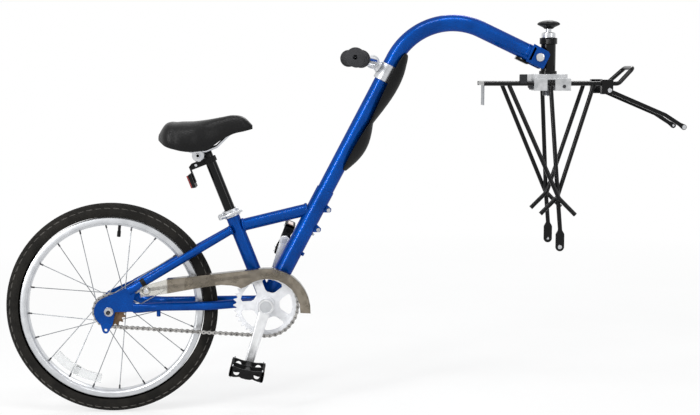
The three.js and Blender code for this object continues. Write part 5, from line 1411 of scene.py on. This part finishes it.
# %% Saddle
saddle_stations = np.array([
    [0, 0.42, 0.66, 0.42, 0.5], [0.06, 0.78, 0.99, 0.27, 0.44], [0.2, 1, 1.1, 0.1, 0.42],
    [0.38, 0.94, 1.13, 0.02, 0.42], [0.53, 0.64, 1.2, 0.1, 0.44], [0.67, 0.42, 1.29, 0.43, 0.58],
    [0.8, 0.33, 1.36, 0.66, 0.76], [0.92, 0.27, 1.26, 0.76, 0.84], [1, 0.12, 0.98, 0.83, 0.86],
])
saddle_length, saddle_half, saddle_depth, saddle_back, saddle_under = 213, 74, 60, 89, 1


def through(stations, share):
    """A cubic curve through rows of values: slopes come from each station's neighbours."""
    at, values = stations[:, 0], stations[:, 1:]
    slopes = np.gradient(values, at, axis=0)
    k = np.clip(np.searchsorted(at, share) - 1, 0, len(at) - 2)
    width = (at[k + 1] - at[k])[:, None]
    t = ((share - at[k]) / (at[k + 1] - at[k]))[:, None]
    return ((2 * t**3 - 3 * t**2 + 1) * values[k] + (t**3 - 2 * t**2 + t) * width * slopes[k]
            + (3 * t**2 - 2 * t**3) * values[k + 1] + (t**3 - t**2) * width * slopes[k + 1])


def saddle_surface():
    """Section: a rounded crown, sides that pull in to the edge, and a shallow hollow underneath."""
    share = 0.5 - 0.5 * np.cos(np.pi * np.linspace(0.02, 0.98, 90))
    share = (share - share[0]) / (share[-1] - share[0])
    wide, top, edge, under = through(saddle_stations, share).T[:, :, None]
    angle = np.linspace(0, np.pi, 61)[None, :]
    crown_out = np.sign(np.cos(angle)) * np.abs(np.cos(angle)) ** 0.62
    crown_up = np.sin(angle) ** 0.8
    pull = 1 - 0.05 * np.exp(-((crown_up / 0.18) ** 2))
    y_top = saddle_half * wide * crown_out * pull
    z_top = edge + (top - edge) * crown_up
    inner = np.linspace(-0.92, 0.92, 21)[None, :]
    y_under = saddle_half * wide * inner
    hollow = np.clip((1 - np.abs(inner)) / 0.35, 0, 1)
    z_under = edge + (under - edge) * 0.9 * hollow**1.5 + 0 * wide
    y = np.concatenate([y_top, y_under], 1)
    z = np.concatenate([z_top, z_under], 1)
    x = (saddle_length * share - saddle_back)[:, None] + 0 * y
    return np.stack([rail_level[0] + x, y, rail_level[2] + saddle_under + saddle_depth * z], -1)


saddle = piece("saddle_cushion", "saddle", "saddle_cover", [surface(saddle_surface())], ("saddle",), 60)

# %% [markdown]
# The rear reflector is a red lens in a black dish that hangs square to the post, on an arm whose band
# grips it.

# %% Reflector
lens_half = half_size("rear_reflector")[1]
dish_middle, dish_half = 327, 17

dish_low, dish_high = dish_middle - dish_half, dish_middle + dish_half
dish_spots = [(dish_low, 51.4), (dish_low + 1.5, 59), (dish_high - 1.5, 59), (dish_high, 51.4)]
dish = drawn_on(on_seat_tube, dish_spots)
lens_spots = [(dish_low + 2, 55), (dish_low + 2, 62.4), (dish_high - 2, 62.4), (dish_high - 2, 55)]
lens_outline = drawn_on(on_seat_tube, lens_spots)
piece("reflector_dish", "seat_post", "black_plastic", [plate(dish, -lens_half, lens_half, (), 1.2)])
lens_plate = plate(lens_outline, 2 - lens_half, lens_half - 2, (), 1.2)
piece("reflector_lens", "seat_post", "red_reflector", [lens_plate], ("rear_reflector",))
refined("reflector_bracket", "reflector_arm", "seat_post", "black_plastic", 0.5)
arm_screw = on_seat_tube(357, 34)
piece("reflector_screw", "seat_post", "chrome_steel",
      [cross_bar(arm_screw, -7.2, -9, 3.4, 0.6, 28), cross_bar(arm_screw, 7.2, 9.4, 3.6, 0.5, 6)])

# %% [markdown]
# ## Chain guard
# The guard is a smoky moulding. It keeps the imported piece's shape, with its edges rounded.

# %% Chain guard
refined("chain_guard", "chain_guard_shell", "frame", "smoky_plastic", 0.5)
guard_face = box("chain_guard")[0][1]


def pan_screw(centre, y_face, side, radius, height):
    """A round screw head with a socket, standing on a face square to Y."""
    rounding = [(radius, 0.45), (radius * 0.82, 0.9), (radius * 0.5, 1), (radius * 0.46, 0.4)]
    profile = [(0, 0), (radius, 0), *rounding, (0, 0.4)]
    return cross_lathe(centre, y_face, y_face + side * height, profile, 36)


guard_screw = np.array([-946.2, 0, -99.3])
# A thin dark steel ring round the screw is a painted shadow: it stands for the shadow line round the screw
# head.
shadow_ring_profile = [(8.4, 0), (9.4, 0), (9.4, 1), (8.4, 1)]
painted_shadow_ring = cross_lathe(guard_screw, guard_face + 0.3, guard_face - 0.5, shadow_ring_profile, 48, True)
piece("guard_screw_shadow_ring", "frame", "dark_steel", [painted_shadow_ring])
guard_screws = [pan_screw(guard_screw, guard_face + 0.1, near, 5, 1.5),
                cross_bar(guard_screw, guard_face + 2.3, -46, 2.4, 0.3)]
piece("guard_screws", "frame", "chrome_steel", guard_screws, (), 30)

# %% [markdown]
# ## Hitch
# The stem, its knob and the steering sleeve are turned pieces on one upright line.

# %% Hitch
sleeve_low, sleeve_high = box("steering_sleeve")
stem_low, stem_high = box("hitch_stem")
knob_low, knob_high = box("hitch_knob")
upright = (0, 0, 1)


def turned_about_stem(profile, sides=72, closed=False):
    """Radius and height pairs turned about the stem."""
    return lathe(profile, (stem[0], 0, 0), upright, sides, closed)


top, bottom = stem_high[2], stem_low[2]
stem_profile = [(4.4, bottom), (11.8, bottom), (12.5, bottom + 0.8), (12.5, top - 12), (15.4, top - 12),
                (16, top - 11.4), (16, top - 3.4), (15.2, top - 1.2), (13.6, top), (4.4, top)]
stem_turned = turned_about_stem(stem_profile, 72, True)
piece("hitch_stem_turned", "hitch_post", "chrome_steel", [stem_turned], ("hitch_stem",), 30)

foot, crown = sleeve_low[2], sleeve_high[2]
threads = [(20.5 - 0.5 * (k % 2), crown - 13 + k * 0.9) for k in range(13)]
sleeve_profile = [(12.8, foot), (20, foot), (20.5, foot + 0.6), (20.5, foot + 6.2), (19.6, foot + 7),
                  (17, foot + 7.6), (17, crown - 15.2), (18.6, crown - 14.4), (20, crown - 14), *threads,
                  (20, crown - 0.4), (19.6, crown), (12.8, crown)]
lug_front, lug_back = stem[0] - 14, bolt[0] + 5.5
lug_body = [(lug_back, bolt[2] - 11.8), (lug_front, bolt[2] - 11.8), (lug_front, bolt[2] + 11.8),
            (lug_back, bolt[2] + 11.8)]
sleeve_parts = [turned_about_stem(sleeve_profile, 72, True), cross_bar(bolt, -20.7, 20.7, 12, 0.8, 56, 6.4),
                plate(lug_body, -10.5, 10.5, (), 1.0)]
piece("steering_sleeve_turned", "steering", "black_enamel", sleeve_parts, ("steering_sleeve",), 28)

knob_top, seat = knob_high[2], knob_low[2]
neck_foot = top + 0.3
draw_bolt = [(0, seat), (3.6, seat), (4, seat + 0.4), (4, neck_foot), (6.4, neck_foot), (6.4, neck_foot + 9),
             (0, neck_foot + 9)]
piece("draw_bolt", "hitch_knob", "chrome_steel", [turned_about_stem(draw_bolt)], (), 30)


def knob_surface():
    """A mushroom cap: the rim's radius ripples round the knob so that fingers can turn it."""
    heights = np.array([7.6, 8.2, 9, 10.6, 12.6, 14.6, 16.4, 17.8, 18.9, 20.6, 22.8, 24.8, 26.6, 27.6, 28])
    radii = np.array([0.0, 9.6, 10.4, 12, 15.2, 19.8, 23.8, 25.8, 26.4, 25.8, 23.2, 18.8, 12.2, 6, 0.0])
    sides = 144
    turn = 2 * np.pi * np.arange(sides) / sides
    grip = np.clip((radii - 20) / 6, 0, 1)[:, None]
    radius = radii[:, None] - 0.9 * grip * (0.5 - 0.5 * np.cos(12 * turn))[None, :] ** 3
    height = neck_foot + heights[:, None] * (knob_top - neck_foot) / 28 + 0 * turn[None, :]
    return np.stack([stem[0] + radius * np.cos(turn), radius * np.sin(turn), height], -1)


piece("knob_cap", "hitch_knob", "black_plastic", [surface(knob_surface())], ("hitch_knob",), 30)
wedge_low, wedge_high = box("expander_wedge")
wedge_profile = [(4.4, wedge_low[2]), (10.6, wedge_low[2]), (11.5, wedge_low[2] + 1), (11.3, wedge_high[2]),
                 (4.4, wedge_high[2])]
wedge = turned_about_stem(wedge_profile, 48, True)
piece("expander_cone", "hitch_post", "dark_steel", [wedge], ("expander_wedge",))

# %% [markdown]
# ## Rack
# The rack is bent from ten millimetre rod and coated gloss black. Its rails and hoop are one rod. Each
# leg is a rod too, and the middle legs end in flat feet with a bolt hole.

# %% Rack rods
platform = stem_low[2] - 0.3 + 16
rail_y, foot_y, rod_radius = 55, 75, 5


def rod(name, corners, bend, node):
    piece(name, "rack", "black_enamel", [tube(rounded(corners, bend, 8), rod_radius, 32)], (node,))


hoop_corners = [(-176, -rail_y, platform), (132, -rail_y, platform), (168, -40, platform + 35),
                (168, 40, platform + 35), (132, rail_y, platform), (-176, rail_y, platform)]
rod("platform_rod", hoop_corners, 14, "rack_platform")
cross_x = -171
rear_rod = cross_bar((cross_x, 0, platform), -49.7, 49.7, rod_radius, 0.4)
piece("rear_bracket", "rack", "black_enamel", [rear_rod], ("rack_rear_bracket",))
hanging_plate = [(cross_x - 1, platform - 50), (cross_x + 1, platform - 50), (cross_x + 1, platform),
                 (cross_x - 1, platform)]
piece("reflector_plate", "rack", "spoke_steel", [plate(hanging_plate, -22, 22, (), 0.4)])


def pressed_foot(side):
    """The middle leg's end: its round section is pressed flat on the way down to the foot plate."""
    share = np.linspace(0, 1, 9)[:, None]
    press = share**2 * (3 - 2 * share)
    turn = 2 * np.pi * np.arange(32) / 32
    across, depth = (5 + 5 * press) * np.cos(turn), (5 - 3 * press) * np.sin(turn)
    return surface(np.stack([across, side * foot_y + depth, 40.5 - 12 * share + 0 * turn[None, :]], -1))


foot_outline = np.concatenate([[(-10, 30), (10, 30)], arc((0, 0, 0), 10, 0, -180, 24)])
foot_hole = [arc((0, 0, 0), 3.2, 0, 350, 30)]
for name, side in both_sides:
    middle_corners = [(-23, side * rail_y, platform - 5.6), (-6, side * foot_y, 109), (0, side * foot_y, 40)]
    shank = tube(rounded(middle_corners, 60, 8), rod_radius, 32)
    foot_plate = plate(foot_outline, side * (foot_y - 2), side * (foot_y + 2), foot_hole, 0.6)
    leg_parts = [shank, pressed_foot(side), foot_plate]
    piece(f"middle_leg_rod_{name}", "rack", "black_enamel", leg_parts, (f"middle_leg_{name}",))
    for which, top_x, lean, kick in (("rear", -120, 10.3, 38), ("front", 76, -10.3, -38)):
        bend = np.array((-6, side * (foot_y + lean), 113))
        start = bend + (np.array((top_x, side * rail_y, platform)) - bend) * 0.985
        corners = [start, bend, (-6 + kick, side * (foot_y + lean), 74.8)]
        rod(f"{which}_leg_rod_{name}", corners, 14, f"{which}_leg_{name}")

# %% [markdown]
# The receiver is a block of raw aluminium, clamped over both rails. The blocks, clamps and flat stays
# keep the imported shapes, with their edges rounded, and screws and bolts hold them together.

# %% Receiver, clamps and stays
refined("receiver_block", "receiver_casting", "rack", "cast_aluminium", 2.2)
refined("rack_bumper", "rubber_bumper", "rack", "bumper_rubber", 1.6)
receiver_face = box("receiver_block")[0][1]
receiver_parts = [pan_screw((6.6, 0, platform - 6.5), receiver_face + 0.6, near, 4.2, 1.8),
                  bar((-61.8, -38, platform - 5), (-70, -38, platform - 5), 9, 1.0, 6),
                  bar((-69.8, -38, platform - 5), (-72.5, -38, platform - 5), 5.4, 0.8, 28)]
piece("receiver_screw", "rack", "dark_steel", receiver_parts, (), 30)
stay_pivot, stay_end, foot_spot = (110, 0, 357), (288, 0, 272), (0, 0, 0)
stay_bolts, foot_bolts = [], []
for name, side in both_sides:
    refined(f"stay_clamp_{name}", f"stay_clamp_block_{name}", "rack", "black_enamel", 1.6)
    refined(f"stay_{name}", f"stay_strip_{name}", f"stay_{name}", "black_enamel", 0.8)
    stay_bolts.append(pan_screw(stay_pivot, side * 64, side, 5.4, 3.2))
    end_bolt = [pan_screw(stay_end, side * 45.7, side, 5, 2.6),
                cross_bar(stay_end, side * 40.5, side * 46.4, 2.7, 0.3)]
    piece(f"stay_end_bolt_{name}", f"stay_{name}", "chrome_steel", end_bolt, (), 30)
    foot_bolts.append(pan_screw(foot_spot, side * (foot_y + 2), side, 5, 2.6))
    foot_bolts.append(cross_bar(foot_spot, side * (foot_y - 5), side * (foot_y + 2.6), 2.6, 0.3))
piece("stay_clamp_bolts", "rack", "chrome_steel", stay_bolts, (), 30)
piece("foot_bolts", "rack", "chrome_steel", foot_bolts, (), 30)

# %% [markdown]
# ## Studio
# A pale floor stands where the wheel does. A tall strip lamp stands on the left, so that its highlight
# is a narrow line along tubes, whichever way they lean.

# %% Floor and lights
floor_half = 12
arc_from, arc_radius = 5, 9


def studio_floor():
    """A flat sheet that rises into a backdrop on a large arc: its height is a function of the depth only."""
    depth = np.linspace(-6, 8, 60)
    drop = np.sqrt(np.maximum(arc_radius**2 - (depth - arc_from) ** 2, 0))
    rise = np.where(depth > arc_from, arc_radius - drop, 0)
    x = np.array([-floor_half, floor_half]) + 0 * depth[:, None]
    return np.stack([x, depth[:, None] + 0 * x, rise[:, None] + 0 * x], -1)


floor_points = studio_floor() + (0, 0, ground * MM - 0.0005)
rows = len(floor_points)
floor_mesh = bpy.data.meshes.new("studio_floor")
floor_faces = [[2 * k, 2 * k + 1, 2 * k + 3, 2 * k + 2] for k in range(rows - 1)]
floor_mesh.from_pydata(floor_points.reshape(-1, 3), [], floor_faces)
floor_mesh.shade_smooth()
floor = bpy.data.objects.new("studio_floor", floor_mesh)
bpy.context.scene.collection.objects.link(floor)
floor_material, floor_shader, floor_spot = new_finish("floor_paint", None, 0.9)
mottle = noise(floor_material, floor_spot, 300)
two_tones(floor_material, floor_shader, mottle, "#f6f6f5", "#fbfbfa", 0.3, 0.7)


def seen_directly(owner):
    """1 for a ray from the camera, off metal or through glass, and 0 for light that reaches the object."""
    rays = add_node(owner, "LightPath", {})
    first = combine(owner, "MAXIMUM", rays["Is Camera Ray"], rays["Is Glossy Ray"])
    return combine(owner, "MAXIMUM", first, rays["Is Transmission Ray"])


glow = add_node(floor_material, "Emission", {"Color": (1, 1, 1, 1), "Strength": 1.0})["Emission"]
from_wheel = add_node(floor_material, "VectorMath", {0: floor_spot}, operation="LENGTH")["Value"]
glow_share = ramp(floor_material, from_wheel, 1.2, 3.2, 0.72, 1.0)
floor_share = combine(floor_material, "MULTIPLY", seen_directly(floor_material), glow_share)
floor_surfaces = {0: floor_share, 1: floor_shader.outputs["BSDF"], 2: glow}
blend = add_node(floor_material, "MixShader", floor_surfaces)["Shader"]
drive(floor_material, floor_material.node_tree.nodes["Material Output"], "Surface", blend)
floor_mesh.materials.append(floor_material)


def lamp(name, spot, target, width, height, watts):
    """A soft box that faces a target."""
    data = bpy.data.lights.new(name, "AREA")
    data.shape = "RECTANGLE"
    data.size = width
    data.size_y = height
    data.energy = watts
    made = bpy.data.objects.new(name, data)
    made.location = spot
    made.rotation_euler = (Vector(target) - Vector(spot)).to_track_quat("-Z", "Y").to_euler()
    bpy.context.scene.collection.objects.link(made)


centre = (-0.5, 0.0, 0.05)
lamp("key", (-2.9, -2.3, 1.45), centre, 0.4, 3.0, 82)
lamp("fill", (2.4, -2.8, 1.8), centre, 0.8, 1.6, 20)
lamp("rim", (0.4, 2.8, 2.6), centre, 1.2, 1.2, 40)
lamp("overhead", (-0.5, -1.3, 3.2), centre, 2.4, 0.5, 44)

world = bpy.data.worlds.new("studio")
world.use_nodes = True
bpy.context.scene.world = world
sky = world.node_tree.nodes["Background"]
sky.inputs["Color"].default_value = (0.9, 0.92, 0.95, 1)
sky.inputs["Strength"].default_value = 0.4
white = add_node(world, "Background", {"Color": (1, 1, 1, 1), "Strength": 1.0})["Background"]
backgrounds = {0: seen_directly(world), 1: sky.outputs["Background"], 2: white}
either = add_node(world, "MixShader", backgrounds)["Shader"]
drive(world, world.node_tree.nodes["World Output"], "Surface", either)
